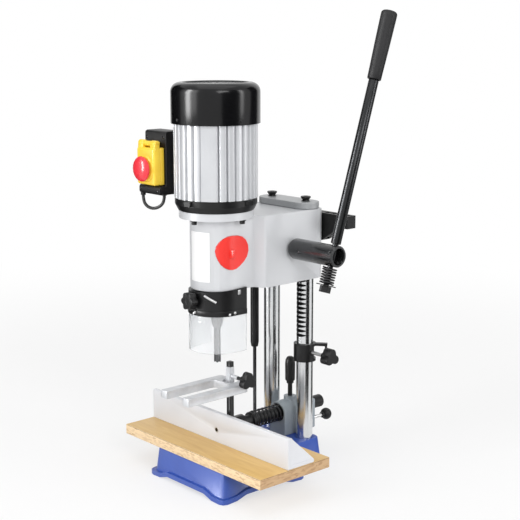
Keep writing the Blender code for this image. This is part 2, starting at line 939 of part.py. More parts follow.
def head_casting():
    """Head casting: chuck housing, motor flange and a box that slides on both columns."""
    casting = soften(slab("head_casting", [head_outline(0)], head_low, head_high), head_edge, 1)
    casting = join(casting, rod("flange", flange_radius, (0, 0, flange_low), (0, 0, flange_high),
                                fine_sides))
    ceiling = head_high - head_roof
    room = housing_outline(housing_radius - head_wall, housing_side_back - head_wall)
    casting = cut(casting, slab("room", [room], head_low - overrun, ceiling))
    inner = head_half_width - head_wall
    box_corners = [(-inner, box_cavity_front), (inner, box_cavity_front), (inner, head_back - head_wall),
                   (-inner, head_back - head_wall)]
    casting = cut(casting, slab("box_room", [rounded(box_corners, head_flare, 2)], head_low - overrun,
                                ceiling))
    for side in (-1, 1):
        middle = (side * column_half_spacing, column_y)
        boss = rod("boss", column_boss_radius, (*middle, head_low + thin_edge),
                   (*middle, ceiling + thin_edge))
        casting = join(casting, boss)
    rib = box("rib", (bearing_rib_low, bearing_rib_low + bearing_rib_width),
              (hub_y - bearing_rib_half, hub_y + bearing_rib_half),
              (hub_height - bearing_rib_half, ceiling + thin_edge))
    casting = join(casting, rib)
    tip = pitch_radius + gear_module + pinion_half_gap
    near = column_half_spacing - pinion_face / 2 - pinion_half_gap
    far = column_half_spacing + pinion_face / 2 + pinion_half_gap
    casting = cut(casting, rod("relief", tip, (near, hub_y, hub_height), (far, hub_y, hub_height)))
    for side in (-1, 1):
        middle = (side * column_half_spacing, column_y)
        bore = rod("bore", column_radius + clearance, (*middle, head_low - overrun),
                   (*middle, head_high + overrun))
        seat = rod("seat", bush_radius + clearance, (*middle, head_low - overrun),
                   (*middle, head_low + bush_length))
        casting = cut(casting, bore, seat)
    shaft = rod("shaft", pinion_shaft_radius + clearance, (bearing_rib_low - overrun, hub_y, hub_height),
                (head_half_width + overrun, hub_y, hub_height))
    spindle = rod("spindle", rotor_shaft_radius + thin_edge, (0, 0, ceiling - overrun),
                  (0, 0, flange_high + overrun))
    window = slab("window", [door_outline(clearance)], door_reach_in, housing_radius + overrun, "X")
    return cut(casting, shaft, spindle, window)


def column_bush(name, side):
    """Bronze bush pressed into the foot of the head's column bore."""
    inner = column_radius + clearance
    high = bush_length - clearance
    profile = [(inner, high), (bush_radius, high), (bush_radius, 0), (inner, 0)]
    return turned(name, profile, round_sides, (side * column_half_spacing, column_y, head_low))


def motor_flange():
    """Lower end bell with the bearing seat and four bolt lugs."""
    high = motor_flange_height
    seat = carrier_thickness + bearing_width
    boss = bearing_radius + bearing_boss_wall
    inner = bearing_radius + clearance
    profile = [(inner, seat), (boss, seat), (boss, carrier_thickness),
               (motor_flange_radius - bearing_boss_wall, carrier_thickness),
               (motor_bore, high), (motor_flange_top_radius, high),
               (motor_flange_top_radius, high / 2), (motor_flange_radius, 0),
               (rotor_shaft_radius + thin_edge, 0), (rotor_shaft_radius + thin_edge, carrier_thickness),
               (inner, carrier_thickness)]
    bell = turned("motor_flange", profile, fine_sides, (0, 0, motor_flange_low))
    lugs = []
    for index in range(4):
        lug = box("lug", (motor_bore + small_edge, motor_lug_reach),
                  (-motor_lug_width / 2, motor_lug_width / 2),
                  (motor_flange_low + high - motor_lug_height, motor_flange_low + high - thin_edge))
        lug.data.transform(Matrix.Rotation(motor_lug_turn + math.pi / 2 * index, 4, "Z"))
        lugs.append(lug)
    return join(bell, *lugs)


def motor_body():
    """Extruded motor frame with cooling ribs around it."""
    outline = []
    valley = motor_radius - motor_rib_depth
    for rib in range(motor_ribs):
        for share, radius in rib_shares:
            turn = 2 * math.pi * (rib + share) / motor_ribs
            reach = valley + (motor_radius - valley) * radius
            outline.append((reach * math.cos(turn), reach * math.sin(turn)))
    bore = circle(roomy(motor_bore, fine_sides), fine_sides)
    return slab("motor_body", [outline, bore], motor_low, motor_high)


def ring(name, inner, outer, low, high, steps=round_sides):
    """Plain ring about the spindle axis."""
    height = high - low
    profile = [(inner, height), (outer, height), (outer, 0), (inner, 0)]
    return turned(name, profile, steps, (0, 0, low))


def bearing_carrier():
    """Disc that closes the motor frame's top and holds the upper bearing."""
    inner = bearing_radius + clearance
    boss = bearing_radius + bearing_boss_wall
    hole = rotor_shaft_radius + thin_edge
    ledge = small_edge
    seat = ledge + bearing_width
    edge = motor_bore - clearance
    profile = [(inner, seat), (boss, seat), (boss, carrier_thickness), (edge, carrier_thickness),
               (edge, 0), (hole, 0), (hole, ledge), (inner, ledge)]
    return turned("bearing_carrier", profile, round_sides, (0, 0, motor_high - carrier_thickness))


def motor_cap():
    """Deep-drawn fan cover with a recessed and slotted top."""
    floor = cap_high - cap_disc_recess
    inner = roomy(motor_radius + clearance, fine_sides)
    wall = cap_radius - inner
    shoulder = arc((cap_radius - cap_shoulder, cap_high - cap_shoulder), cap_shoulder, 90, 0, 3)
    inside = arc((cap_radius - cap_shoulder, cap_high - cap_shoulder), cap_shoulder - wall, 0, 90, 2)
    profile = [(0, floor), (cap_disc_radius, floor), (cap_disc_radius + cap_disc_recess, cap_high)]
    profile += shoulder + [(cap_radius, cap_low), (inner, cap_low)] + inside
    profile += [(cap_disc_radius - cap_disc_recess, floor - wall), (0, floor - wall)]
    profile = [(radius, height - cap_low) for radius, height in profile]
    cap = turned("motor_cap", profile, fine_sides, (0, 0, cap_low))
    slots = []
    for index in range(cap_slots):
        slot = box("slot", (cap_slot_inner, cap_slot_outer), (-cap_slot_width / 2, cap_slot_width / 2),
                   (floor - wall - overrun, cap_high + overrun))
        slot.data.transform(Matrix.Rotation(2 * math.pi * index / cap_slots, 4, "Z"))
        slots.append(slot)
    return cut(cap, *slots)


def cooling_fan():
    """Radial fan on the motor shaft's upper end."""
    bore = rotor_shaft_radius + clearance
    profile = [(bore, fan_height), (fan_hub_radius, fan_height), (fan_hub_radius, fan_plate),
               (fan_radius, fan_plate),
               (fan_radius, 0), (bore, 0)]
    fan = turned("cooling_fan", profile, round_sides, (0, 0, fan_low))
    blades = []
    for index in range(fan_blades):
        blade = box("blade", (fan_hub_radius - thin_edge, fan_radius - thin_edge),
                    (-fan_blade_thickness / 2, fan_blade_thickness / 2),
                    (fan_low + fan_plate / 2, fan_low + fan_height - thin_edge))
        blade.data.transform(Matrix.Rotation(2 * math.pi * index / fan_blades, 4, "Z"))
        blades.append(blade)
    return join(fan, *blades)


def rotor_shaft():
    """Motor shaft with a reduced nose for the chuck."""
    top = fan_low + fan_height
    nose_low = chuck_high - chuck_socket_depth + clearance
    profile = [(0, top), (rotor_shaft_radius, top), (rotor_shaft_radius, chuck_high + clearance),
               (spindle_nose_radius, chuck_high + clearance), (spindle_nose_radius, nose_low), (0, nose_low)]
    return turned("rotor_shaft", profile, round_sides)


def drill_chuck():
    """Keyed chuck with a knurled sleeve, a taper nose and three key holes."""
    shares = chuck_shares
    height = chuck_high - chuck_low
    bit = auger_shank + clearance
    profile = [(0, chuck_high - chuck_socket_depth),
               (spindle_nose_radius + clearance, chuck_high - chuck_socket_depth),
               (spindle_nose_radius + clearance, chuck_high), (chuck_radius, chuck_high),
               (chuck_radius, chuck_low + height * shares[0]), (chuck_sleeve_radius,
                                                                chuck_low + height * shares[1]),
               (chuck_sleeve_radius, chuck_low + height * shares[2]), (chuck_nose_radius, chuck_low),
               (bit, chuck_low), (bit, chuck_low + chuck_bit_depth), (0, chuck_low + chuck_bit_depth)]
    chuck = turned("drill_chuck", profile, round_sides)
    height = (chuck_low + chuck_high + chuck_socket_depth / 2) / 2
    holes = []
    for index in range(3):
        turn = 2 * math.pi * index / 3
        way = Vector((math.cos(turn), math.sin(turn), 0))
        start = way * (spindle_nose_radius + chuck_key_radius) + Vector((0, 0, height))
        end = way * (chuck_sleeve_radius + overrun) + Vector((0, 0, height))
        holes.append(rod("hole", chuck_key_radius, start, end, small_sides))
    return cut(chuck, *holes)


def auger_bit():
    """Two-edged auger: a twisted bar below a round shank."""
    half = math.sqrt(auger_radius ** 2 - auger_core ** 2)
    corners = [(half, auger_core), (-half, auger_core), (-half, -auger_core), (half, -auger_core)]
    steps = auger_turns * flute_steps
    loops = []
    for step in range(steps + 1):
        turn = Matrix.Rotation(2 * math.pi * auger_turns * step / steps, 2)
        height = auger_tip + (auger_flute_top - auger_tip) * step / steps
        size = point_share if step == 0 else 1
        loops.append([(*(turn @ Vector(corner) * size), height) for corner in corners])
    flute = loft("auger_bit", loops)
    top = chuck_low + chuck_bit_depth - clearance
    return join(flute, rod("shank", auger_shank, (0, 0, auger_flute_top - thin_edge), (0, 0, top),
                           small_sides))


def mortising_chisel():
    """Square hollow chisel with a chip slot, a flared mouth and a round shank."""
    profile = [(0, chisel_shank_top), (chisel_shank_radius, chisel_shank_top),
               (chisel_shank_radius, chisel_shoulder_high), (chisel_shoulder_radius, chisel_shoulder_high),
               (chisel_shoulder_radius, (chisel_shoulder_high + chisel_shoulder_low) / 2),
               (chisel_shoulder_foot, chisel_shoulder_low), (0, chisel_shoulder_low)]
    chisel = turned("mortising_chisel", profile, round_sides)
    half = chisel_size / 2
    blade = box("blade", (-half, half), (-half, half), (chisel_tip, chisel_shoulder_low + thin_edge))
    chisel = join(chisel, blade)
    bore = rod("bore", chisel_bore, (0, 0, chisel_tip - overrun), (0, 0, chisel_shank_top + overrun),
               small_sides)
    slot = box("slot", (0, chisel_size), (-chisel_slot_width / 2, chisel_slot_width / 2),
               (chisel_slot_low, chisel_slot_high))
    mouth = rod("mouth", chisel_size * mouth_share, (0, 0, chisel_tip - thin_edge),
                (0, 0, chisel_tip + chisel_hollow_depth), small_sides, chisel_bore * throat_share)
    return cut(chisel, bore, slot, mouth)


def chisel_holder():
    """Black holder under the housing: a band, a web and the bored boss for the chisel's shank."""
    upper = housing_outline(holder_radius, holder_back)
    lower_radius = holder_radius - holder_step_depth
    lower = housing_outline(lower_radius, holder_back - holder_step_depth)
    holder = slab("chisel_holder", [upper], holder_step, holder_high)
    holder = join(holder, slab("lower", [lower], holder_low, holder_step + thin_edge))
    floor = head_low - clearance
    holder = cut(holder, slab("housing", [head_outline(clearance)], floor, holder_high + overrun))
    room = housing_outline(lower_radius - holder_wall, holder_back - holder_step_depth - holder_wall)
    holder = cut(holder, slab("room", [room], holder_low - overrun, holder_web_low))
    boss = rod("boss", holder_boss_radius, (0, 0, chisel_shoulder_high + clearance),
               (0, 0, floor - thin_edge))
    holder = join(holder, boss)
    bore = rod("bore", chisel_shank_radius + clearance, (0, 0, holder_low - chisel_shoulder_radius * 2),
               (0, 0, holder_high + overrun))
    thread = rod("thread", clamp_rod_radius + clearance, (0, -holder_radius - overrun, clamp_axis),
                 (0, 0, clamp_axis), small_sides)
    return cut(holder, bore, thread)


def chuck_guard():
    """Clear guard bent around the chisel and open at the back."""
    outer = holder_radius - clearance
    inner = holder_radius - holder_step_depth + clearance
    outline = [(-outer, holder_back)] + arc((0, 0), outer, 180, 360, 16) + [(outer, holder_back)]
    outline += [(inner, holder_back)] + arc((0, 0), inner, 360, 180, 16) + [(-inner, holder_back)]
    return slab("chuck_guard", [outline], guard_low, holder_step - clearance)


def clamp_screw():
    """Star knob at the front of the holder; its screw bears on the chisel's shank."""
    back = clamp_knob_front + clamp_knob_depth
    knob = lobed_knob("chisel_clamp_screw", clamp_knob_radius, clamp_lobes, (0, clamp_axis), 30,
                      clamp_knob_front, back, "Y")
    seat = -holder_radius - clearance
    neck = rod("neck", clamp_neck_radius, (0, back - thin_edge, clamp_axis), (0, seat, clamp_axis),
               small_sides)
    tip = -chisel_shank_radius - 2 * clearance
    screw = rod("screw", clamp_rod_radius, (0, back - thin_edge, clamp_axis), (0, tip, clamp_axis),
                small_sides)
    return join(knob, neck, screw)


def access_door():
    """Push-in door over the chuck window, curved like the housing, with a finger grip."""
    shell = slab("shell", [head_outline(door_proud), head_outline(-door_inset)],
                 door_mid_z - door_height, door_mid_z + door_height)
    prism = slab("access_door", [door_outline(0)], door_reach_in, housing_radius + overrun, "X")
    door = combine(prism, [shell], "INTERSECT")
    half = door_grip_width / 2
    grip = box("grip", (housing_radius - door_inset, housing_radius + door_grip_reach),
               (door_mid_y - half, door_mid_y + half),
               (door_mid_z - door_grip_height / 2, door_mid_z + door_grip_height / 2), small_edge)
    return join(door, grip)


def tool_holder():
    """Gusseted shelf behind the head with upright slots for chisels."""
    front = head_back + clearance
    corners = [(tool_left, tool_low), (head_half_width - tool_block_height / 4, tool_low),
               (tool_right - tool_block, tool_high - tool_block_height),
               (tool_right, tool_high - tool_block_height), (tool_right, tool_high), (tool_left, tool_high)]
    shelf = slab("tool_holder", [corners], front, front + tool_depth, "Y")
    middle = front + tool_depth / 2
    half = tool_slot / 2
    slots = []
    for index in range(tool_slots):
        right = tool_right - tool_slot_gap - index * (tool_slot + tool_slot_gap)
        slot = box("slot", (right - tool_slot, right), (middle - half, middle + half),
                   (tool_low - overrun, tool_high + overrun))
        slots.append(slot)
    return cut(shelf, *slots)


def strut_cylinder():
    """Gas strut's cylinder, hung from the head's roof."""
    high = head_high - head_roof - clearance - strut_low
    profile = [(0, high), (strut_radius, high), (strut_radius, strut_neck_length), (strut_neck_radius, 0),
               (strut_bore, 0), (strut_bore, strut_bore_depth), (0, strut_bore_depth)]
    return turned("strut_cylinder", profile, small_sides, (strut_x, strut_y, strut_low))


def strut_rod():
    """Gas strut's rod, standing on the base."""
    foot = base_height + clearance
    top = strut_low + strut_rod_overlap - foot
    profile = [(0, top), (strut_rod_radius, top), (strut_rod_radius, strut_foot_height),
               (strut_foot_radius, strut_foot_height), (strut_foot_radius, 0), (0, 0)]
    return turned("strut_rod", profile, small_sides, (strut_x, strut_y, foot))


def fence_bracket():
    """Arched casting between the columns that guides the fence shaft."""
    low = base_height + clearance
    outline = [(-bracket_half_width, low), (bracket_half_width, low)]
    outline += arc((0, shaft_height), bracket_arch_radius, 0, 180, 10)
    bracket = soften(slab("fence_bracket", [outline], bracket_front, bracket_back, "Y"), small_edge, 1)
    pad = rod("pad", bracket_pad_radius, (0, lock_y, shaft_height + shaft_radius), (0, lock_y, bracket_top))
    bracket = join(bracket, pad)
    bore = rod("bore", shaft_radius + clearance, (0, bracket_front - overrun, shaft_height),
               (0, bracket_back + overrun, shaft_height))
    seat = rod("seat", bracket_spring_radius, (0, bracket_front - overrun, shaft_height),
               (0, bracket_front + bracket_spring_depth, shaft_height))
    lock = rod("lock", lock_rod_radius + clearance, (0, lock_y, shaft_height),
               (0, lock_y, bracket_top + overrun),
               small_sides)
    thread = rod("thread", keeper_rod_radius + clearance,
                 (0, keeper_screw_tip - clearance, keeper_screw_height),
                 (0, bracket_back + overrun, keeper_screw_height), small_sides)
    return cut(bracket, bore, seat, lock, thread)


def bracket_keeper():
    """Black plate on the back of the bracket."""
    front = bracket_back + clearance
    back = front + keeper_thickness
    plate = box("bracket_keeper", (-keeper_half_width, keeper_half_width), (front, back),
                (keeper_low, keeper_high), small_edge / 2)
    bore = rod("bore", shaft_radius + clearance, (0, front - overrun, shaft_height),
               (0, back + overrun, shaft_height))
    thread = rod("thread", keeper_rod_radius + clearance, (0, front - overrun, keeper_screw_height),
                 (0, back + overrun, keeper_screw_height), small_sides)
    return cut(plate, bore, thread)


def keeper_screw():
    """Thin screw with a small star knob behind the keeper."""
    start = keeper_knob_start
    knob = lobed_knob("keeper_screw", keeper_knob_radius, clamp_lobes, (0, keeper_screw_height), 0,
                      start, start + keeper_knob_length, "Y")
    screw = rod("screw", keeper_rod_radius, (0, keeper_screw_tip, keeper_screw_height),
                (0, start + thin_edge, keeper_screw_height), small_sides)
    return join(knob, screw)


def lock_handle():
    """Upright grip whose screw presses on the fence shaft."""
    tip = shaft_height + shaft_radius + clearance
    profile = [(0, lock_grip_high), (lock_grip_radius - lock_chamfer, lock_grip_high),
               (lock_grip_radius, lock_grip_high - lock_chamfer), (lock_grip_radius,
                                                                   lock_grip_low + lock_step_height),
               (lock_step_radius, lock_grip_low + lock_step_height), (lock_step_radius, lock_grip_low),
               (lock_rod_radius, lock_grip_low), (lock_rod_radius, tip), (0, tip)]
    return turned("fence_lock_handle", profile, small_sides, (0, lock_y, 0))


def depth_stop_collar():
    """Collar on the rack column, cut away at the back, with a hook on its upper flange."""
    middle = Vector((column_half_spacing, column_y, 0))
    up = Vector((0, 0, 1))
    collar = rod("depth_stop_collar", collar_radius, middle + up * collar_low, middle + up * collar_high)
    reach = collar_radius + overrun
    window = box("window", (column_half_spacing - reach, column_half_spacing + reach),
                 (column_y + collar_lug_half / 2, column_y + reach),
                 (collar_low + collar_flange, collar_high - collar_flange))
    collar = cut(collar, window)
    half = collar_lug_half / 2
    hook = box("hook", (column_radius + small_edge, collar_hook_reach), (-half, half),
               (collar_high - collar_flange, collar_high))
    barb = box("barb", (collar_hook_reach - collar_hook_thickness, collar_hook_reach - thin_edge / 2),
               (-half + thin_edge / 2, half - thin_edge / 2),
               (collar_high - collar_hook_drop - collar_flange, collar_high - thin_edge))
    hook = join(hook, barb)
    hook.data.transform(Matrix.Translation(middle) @ Matrix.Rotation(collar_hook_turn, 4, "Z"))
    collar = join(collar, hook)
    bore = rod("bore", column_radius + clearance, middle + up * (collar_low - overrun),
               middle + up * (collar_high + overrun))
    thread = rod("thread", stop_rod_radius + clearance, (column_half_spacing, column_y, stop_axis),
                 (column_half_spacing + reach, column_y, stop_axis), small_sides)
    return cut(collar, bore, thread)


def depth_stop_screw():
    """Lobed knob on a long screw that clamps the depth stop."""
    neck_end = stop_neck_start + stop_neck_length
    knob = lobed_knob("depth_stop_screw", stop_lobe_reach, 3, (column_y, stop_axis), 90,
                      neck_end, neck_end + stop_lobe_length, "X")
    neck = rod("neck", stop_neck_radius, (stop_neck_start, column_y, stop_axis),
               (neck_end + thin_edge, column_y, stop_axis), small_sides)
    start = column_half_spacing + column_radius + 2 * clearance
    screw = rod("screw", stop_rod_radius, (start, column_y, stop_axis),
                (stop_neck_start + thin_edge, column_y, stop_axis), small_sides)
    return join(knob, neck, screw)


def pinion():
    """Involute pinion in mesh with the rack, a tooth pointing at the column."""
    base_radius = pitch_radius * math.cos(pressure_angle)
    tip_radius = pitch_radius + gear_module
    root_radius = pitch_radius - gear_module * root_share
    involute = math.tan(pressure_angle) - pressure_angle
    half_pitch = (tooth_pitch / 2 - backlash) / (2 * pitch_radius) + involute

    def half_angle(radius):
        turn = math.acos(min(1, base_radius / radius))
        return half_pitch - (math.tan(turn) - turn)

    low = max(base_radius, root_radius)
    radii = [low + (tip_radius - low) * share for share in flank_shares]
    outline = []
    for tooth in range(pinion_teeth):
        middle = 2 * math.pi * tooth / pinion_teeth
        flank = [(root_radius, half_angle(low))] + [(radius, half_angle(radius)) for radius in radii]
        right = [(radius, middle - angle) for radius, angle in flank]
        left = [(radius, middle + angle) for radius, angle in reversed(flank)]
        for radius, turn in right + left:
            outline.append((hub_y + radius * math.cos(turn), hub_height + radius * math.sin(turn)))
    bore = circle(pinion_shaft_radius + clearance, round_sides, (hub_y, hub_height))
    half = pinion_face / 2
    return slab("pinion", [outline, bore], column_half_spacing - half, column_half_spacing + half, "X")


def pinion_shaft():
    """Shaft that carries the pinion and the lever hub."""
    end = head_half_width + clearance + pinion_shaft_reach
    return rod("pinion_shaft", pinion_shaft_radius, (bearing_rib_low, hub_y, hub_height),
               (end, hub_y, hub_height))


def lever_hub():
    """Tubular hub with an open end and a cross bore for the lever."""
    start = head_half_width + clearance
    length = hub_end - start
    socket = pinion_shaft_reach + clearance
    profile = [(0, length - hub_bore_depth), (hub_bore, length - hub_bore_depth), (hub_bore, length),
               (hub_radius - small_edge, length), (hub_radius, length - small_edge), (hub_radius,
                                                                                      hub_chamfer),
               (hub_radius - hub_chamfer, 0), (pinion_shaft_radius + clearance, 0),
               (pinion_shaft_radius + clearance, socket), (0, socket)]
    hub = turned("lever_hub", profile, round_sides, (start, hub_y, hub_height), (1, 0, 0))
    seat = rod("seat", lever_seat_radius + clearance, lever_point(0), lever_point(hub_radius + overrun),
               small_sides)
    hole = rod("hole", stud_radius + clearance, lever_point(overrun), lever_point(-hub_radius - overrun),
               small_sides)
    return cut(hub, seat, hole)


def lever_point(distance):
    """A point on the lever's axis at a distance from the hub's axis."""
    return Vector((lever_x, hub_y, hub_height)) + lever_axis * distance


def lever_turned(name, profile, steps=round_sides):
    """A piece turned about the lever's axis, heights measured from the hub's axis."""
    return turned(name, profile, steps, lever_point(0), lever_axis)


def lever_rod():
    """Lever bar: shoulder on the hub, seat in its wall and a stud below."""
    shoulder = hub_radius + clearance
    profile = [(0, lever_top), (lever_radius, lever_top), (lever_radius, shoulder + small_edge),
               (lever_radius - small_edge, shoulder), (lever_seat_radius, shoulder),
               (lever_seat_radius, lever_seat_low), (stud_radius, lever_seat_low), (stud_radius,
                                                                                    -stud_length),
               (0, -stud_length)]
    return lever_turned("lever_rod", profile)


def lever_grip():
    """Tapered plastic grip pushed on the bar."""
    bore = lever_radius + clearance
    profile = [(0, grip_end), (grip_high_radius - grip_round, grip_end),
               (grip_high_radius, grip_end - grip_round),
               (grip_low_radius, grip_start + grip_round), (grip_low_radius - thin_edge, grip_start),
               (bore, grip_start), (bore, lever_top + clearance), (0, lever_top + clearance)]
    return lever_turned("lever_grip", profile)


def lever_spring():
    """Coil spring on the stud between the hub and the washer."""
    points = spring_points(lever_spring_mean, lever_spring_wire, lever_spring_curls, lever_spring_length,
                           2 * lever_spring_wire)
    least_gap("lever_spring", points, lever_spring_wire)
    turn = Vector((0, 0, 1)).rotation_difference(-lever_axis).to_matrix()
    start = lever_point(-lever_spring_top)
    return tube("lever_spring", [start + turn @ point for point in points], lever_spring_wire)


def lever_washer():
    """Washer under the lever spring."""
    top = -lever_spring_top - lever_spring_length - clearance
    inner = stud_radius + clearance
    profile = [(inner, top), (washer_radius, top), (washer_radius, top - washer_thickness),
               (inner, top - washer_thickness)]
    return lever_turned("lever_washer", profile)


def lever_nut():
    """Hexagon nut on the stud's end."""
    top = -lever_spring_top - lever_spring_length - 2 * clearance - washer_thickness
    low = top - nut_length
    nut = rod("lever_nut", nut_radius, lever_point(top), lever_point(low), 6)
    bore = rod("bore", stud_radius + clearance, lever_point(top + overrun), lever_point(low - overrun),
               small_sides)
    return cut(nut, bore)


def fence():
    """Angle fence with end and middle gussets and a boss for the shaft."""
    low = table_top + clearance
    back = fence_front + fence_thickness
    top = low + fence_height
    corners = [(fence_front, low), (fence_foot_back, low, fence_top_round),
               (fence_foot_back, low + fence_foot_height, fence_top_round),
               (back, low + fence_foot_height, fence_top_round), (back, top, fence_top_round),
               (fence_front, top, fence_top_round)]
    body = slab("fence", [rounded(corners, 0, 3)], -fence_half_length, fence_half_length, "X")
    web = [(fence_front + thin_edge, low + thin_edge), (fence_foot_back - thin_edge, low + thin_edge),
           (fence_foot_back - thin_edge, low + fence_foot_height), (back, top - thin_edge * 2),
           (fence_front + thin_edge, top - thin_edge * 2)]
    gussets = []
    for side in (-1, 1):
        outer = side * (fence_half_length - thin_edge)
        for place in (outer - side * fence_gusset / 2, side * fence_mid_gusset):
            half = fence_gusset / 2
            gussets.append(slab("gusset", [web], place - half, place + half, "X"))
    body = join(body, *gussets)
    end = shaft_start - clearance
    body = join(body, rod("boss", fence_boss_radius - clearance, (0, back - thin_edge, shaft_height),
                          (0, end, shaft_height)))
    hole = rod("hole", fence_screw_radius, (0, fence_front - overrun, shaft_height),
               (0, end + overrun, shaft_height),
               small_sides)
    head = rod("head", fence_screw_head, (0, fence_front - overrun, shaft_height),
               (0, fence_front + fence_screw_head_depth, shaft_height), small_sides)
    return cut(body, hole, head)


def fence_shaft():
    """Sliding shaft with a spring collar."""
    collar = shaft_collar_start + shaft_collar_width
    profile = [(0, shaft_end), (shaft_radius, shaft_end), (shaft_radius, collar),
               (shaft_collar_radius, collar),
               (shaft_collar_radius, shaft_collar_start), (shaft_radius, shaft_collar_start),
               (shaft_radius, shaft_start), (0, shaft_start)]
    return turned("fence_shaft", profile, round_sides, (0, 0, shaft_height), (0, 1, 0))


def shaft_cap():
    """Black cap on the shaft's rear end, at rest against the keeper."""
    length = shaft_cap_length
    depth = shaft_end + clearance - shaft_cap_start
    inner = shaft_radius + clearance
    profile = [(0, length), (shaft_cap_radius - small_edge, length), (shaft_cap_radius, length - small_edge),
               (shaft_cap_radius, 0), (inner, 0), (inner, depth), (0, depth)]
    return turned("shaft_cap", profile, round_sides, (0, shaft_cap_start, shaft_height), (0, 1, 0))


def fence_spring():
    """Coil spring on the shaft between its collar and the bracket."""
    start = shaft_collar_start + shaft_collar_width + clearance
    end = bracket_front + bracket_spring_depth - clearance
    points = spring_points(fence_spring_mean, fence_spring_wire, fence_spring_curls, end - start,
                           2 * fence_spring_wire)
    least_gap("fence_spring", points, fence_spring_wire)
    turn = Vector((0, 0, 1)).rotation_difference(Vector((0, 1, 0))).to_matrix()
    middle = Vector((0, start, shaft_height))
    return tube("fence_spring", [middle + turn @ point for point in points], fence_spring_wire)


def hold_down_post():
    """Square post on a ring around the fence shaft."""
    ring_piece = rod("hold_down_post", post_ring_radius, (0, post_ring_start, shaft_height),
                     (0, post_ring_end, shaft_height))
    half = post_size / 2
    post = box("post", (-half, half), (post_y - half, post_y + half), (shaft_height, post_top), thin_edge)
    ring_piece = join(ring_piece, post)
    bore = rod("bore", shaft_radius + clearance, (0, post_ring_start - overrun, shaft_height),
               (0, post_ring_end + overrun, shaft_height))
    return cut(ring_piece, bore)


def hold_down_fork():
    """Cast two-armed fork with a boss that slides on the square post."""
    arm = fork_half_width - fork_arm_width
    corners = [(-fork_half_width, fork_tip, thin_edge), (-arm, fork_tip, thin_edge),
               (-arm, fork_bridge_front, arm_round), (arm, fork_bridge_front, arm_round),
               (arm, fork_tip, thin_edge), (fork_half_width, fork_tip, thin_edge),
               (fork_half_width, fork_back), (-fork_half_width, fork_back)]
    fork = soften(slab("hold_down_fork", [rounded(corners, fork_corner, 2)], fork_low, fork_high),
                  thin_edge, 1)
    boss = rod("boss", fork_boss_radius, (0, post_y, fork_low + thin_edge), (0, post_y, fork_boss_top),
               round_sides)
    fork = join(fork, boss)
    half = post_size / 2 + clearance
    well = box("well", (-half, half), (post_y - half, post_y + half),
               (fork_low - overrun, fork_boss_top + overrun))
    thread = rod("thread", fork_screw_radius + clearance, (0, post_y, fork_screw_height),
                 (fork_boss_radius + overrun, post_y, fork_screw_height), small_sides)
    return cut(fork, well, thread)


def hold_down_screw():
    """Three-lobed knob whose screw clamps the fork on the post."""
    start = fork_knob_start
    end = start + fork_knob_length
    knob = lobed_knob("hold_down_screw", fork_knob_reach, 3, (post_y, fork_screw_height), -90, start, end,
                      "X")
    tip = post_size / 2 + 2 * clearance
    screw = rod("screw", fork_screw_radius, (tip, post_y, fork_screw_height),
                (start + thin_edge, post_y, fork_screw_height), small_sides)
    neck = rod("neck", fork_neck_radius, (fork_neck_start, post_y, fork_screw_height),
               (start + thin_edge, post_y, fork_screw_height), small_sides)
    return join(knob, neck, screw)


def switch_box():
    """Black switch box whose foot stands forward under the lid, with two lead glands in its floor."""
    corners = [(box_back, box_low), (box_foot_front, box_low), (box_foot_front, box_foot_high),
               (box_front, box_foot_high, 0), (box_front, box_high), (box_back, box_high)]
    body = slab("switch_box", [rounded(corners, box_round, 2)], box_left, box_right, "X")
    body = soften(body, box_edge, 1)
    glands = []
    for across, near in lead_ends:
        gland = rod("gland", gland_radius, (across, near, box_low + box_round),
                    (across, near, box_low - gland_length), small_sides)
        glands.append(gland)
    return join(body, *glands)


def switch_bracket():
    """Plate that carries the switch box on the motor frame."""
    front = box_back + clearance
    near = -motor_radius - clearance
    past = -cap_radius - clearance
    corners = [(box_left + bracket_plate_rise, box_low + box_round), (near, motor_low),
               (near, cap_low - small_edge), (past, cap_low - small_edge), (past,
                                                                            box_high + bracket_plate_rise),
               (box_right - bracket_plate_thickness, box_high), (box_left + bracket_plate_rise, box_high)]
    return slab("switch_bracket", [corners], front, front + bracket_plate_thickness, "Y")


def switch_frame():
    """Yellow frame on the box with button wells, a hinge lug and the hinge pin."""
    back = box_front - clearance
    front = back - frame_depth
    frame = box("switch_frame", (frame_left, frame_right), (front, back), (frame_low, frame_high),
                small_edge)
    middle = (frame_left + frame_right) / 2
    hinge = hinge_y()
    inner = (frame_right - frame_left) / 2 - lid_lug_width - lid_lug_gap
    lug = rod("lug", lid_hinge_radius, (middle - inner, hinge, lid_hinge_height),
              (middle + inner, hinge, lid_hinge_height), small_sides)
    web = box("web", (middle - inner + thin_edge, middle + inner - thin_edge), (hinge, back - thin_edge),
              (lid_hinge_height - lid_hinge_radius + thin_edge, lid_hinge_height + lid_hinge_radius / 2))
    stem = box("stem", (middle - inner + thin_edge * 2, middle + inner - thin_edge * 2),
               (front + thin_edge, back - thin_edge), (frame_high - small_edge * 2, lid_hinge_height))
    outer = (frame_right - frame_left) / 2 - lid_lug_gap
    pin = rod("pin", lid_hinge_radius / 3, (middle - outer, hinge, lid_hinge_height),
              (middle + outer, hinge, lid_hinge_height), small_sides)
    frame = join(frame, stem, web, lug, pin)
    wells = []
    for side in (-1, 1):
        height = (frame_low + frame_high) / 2 + side * button_spacing / 2
        wells.append(rod("well", button_radius + clearance, (middle, front - overrun, height),
                         (middle, back - small_edge, height), small_sides))
    return cut(frame, *wells)


def hinge_y():
    """Depth of the lid's hinge axis, over the lid's back edge."""
    return box_front - 2 * clearance - frame_depth - lid_hinge_radius


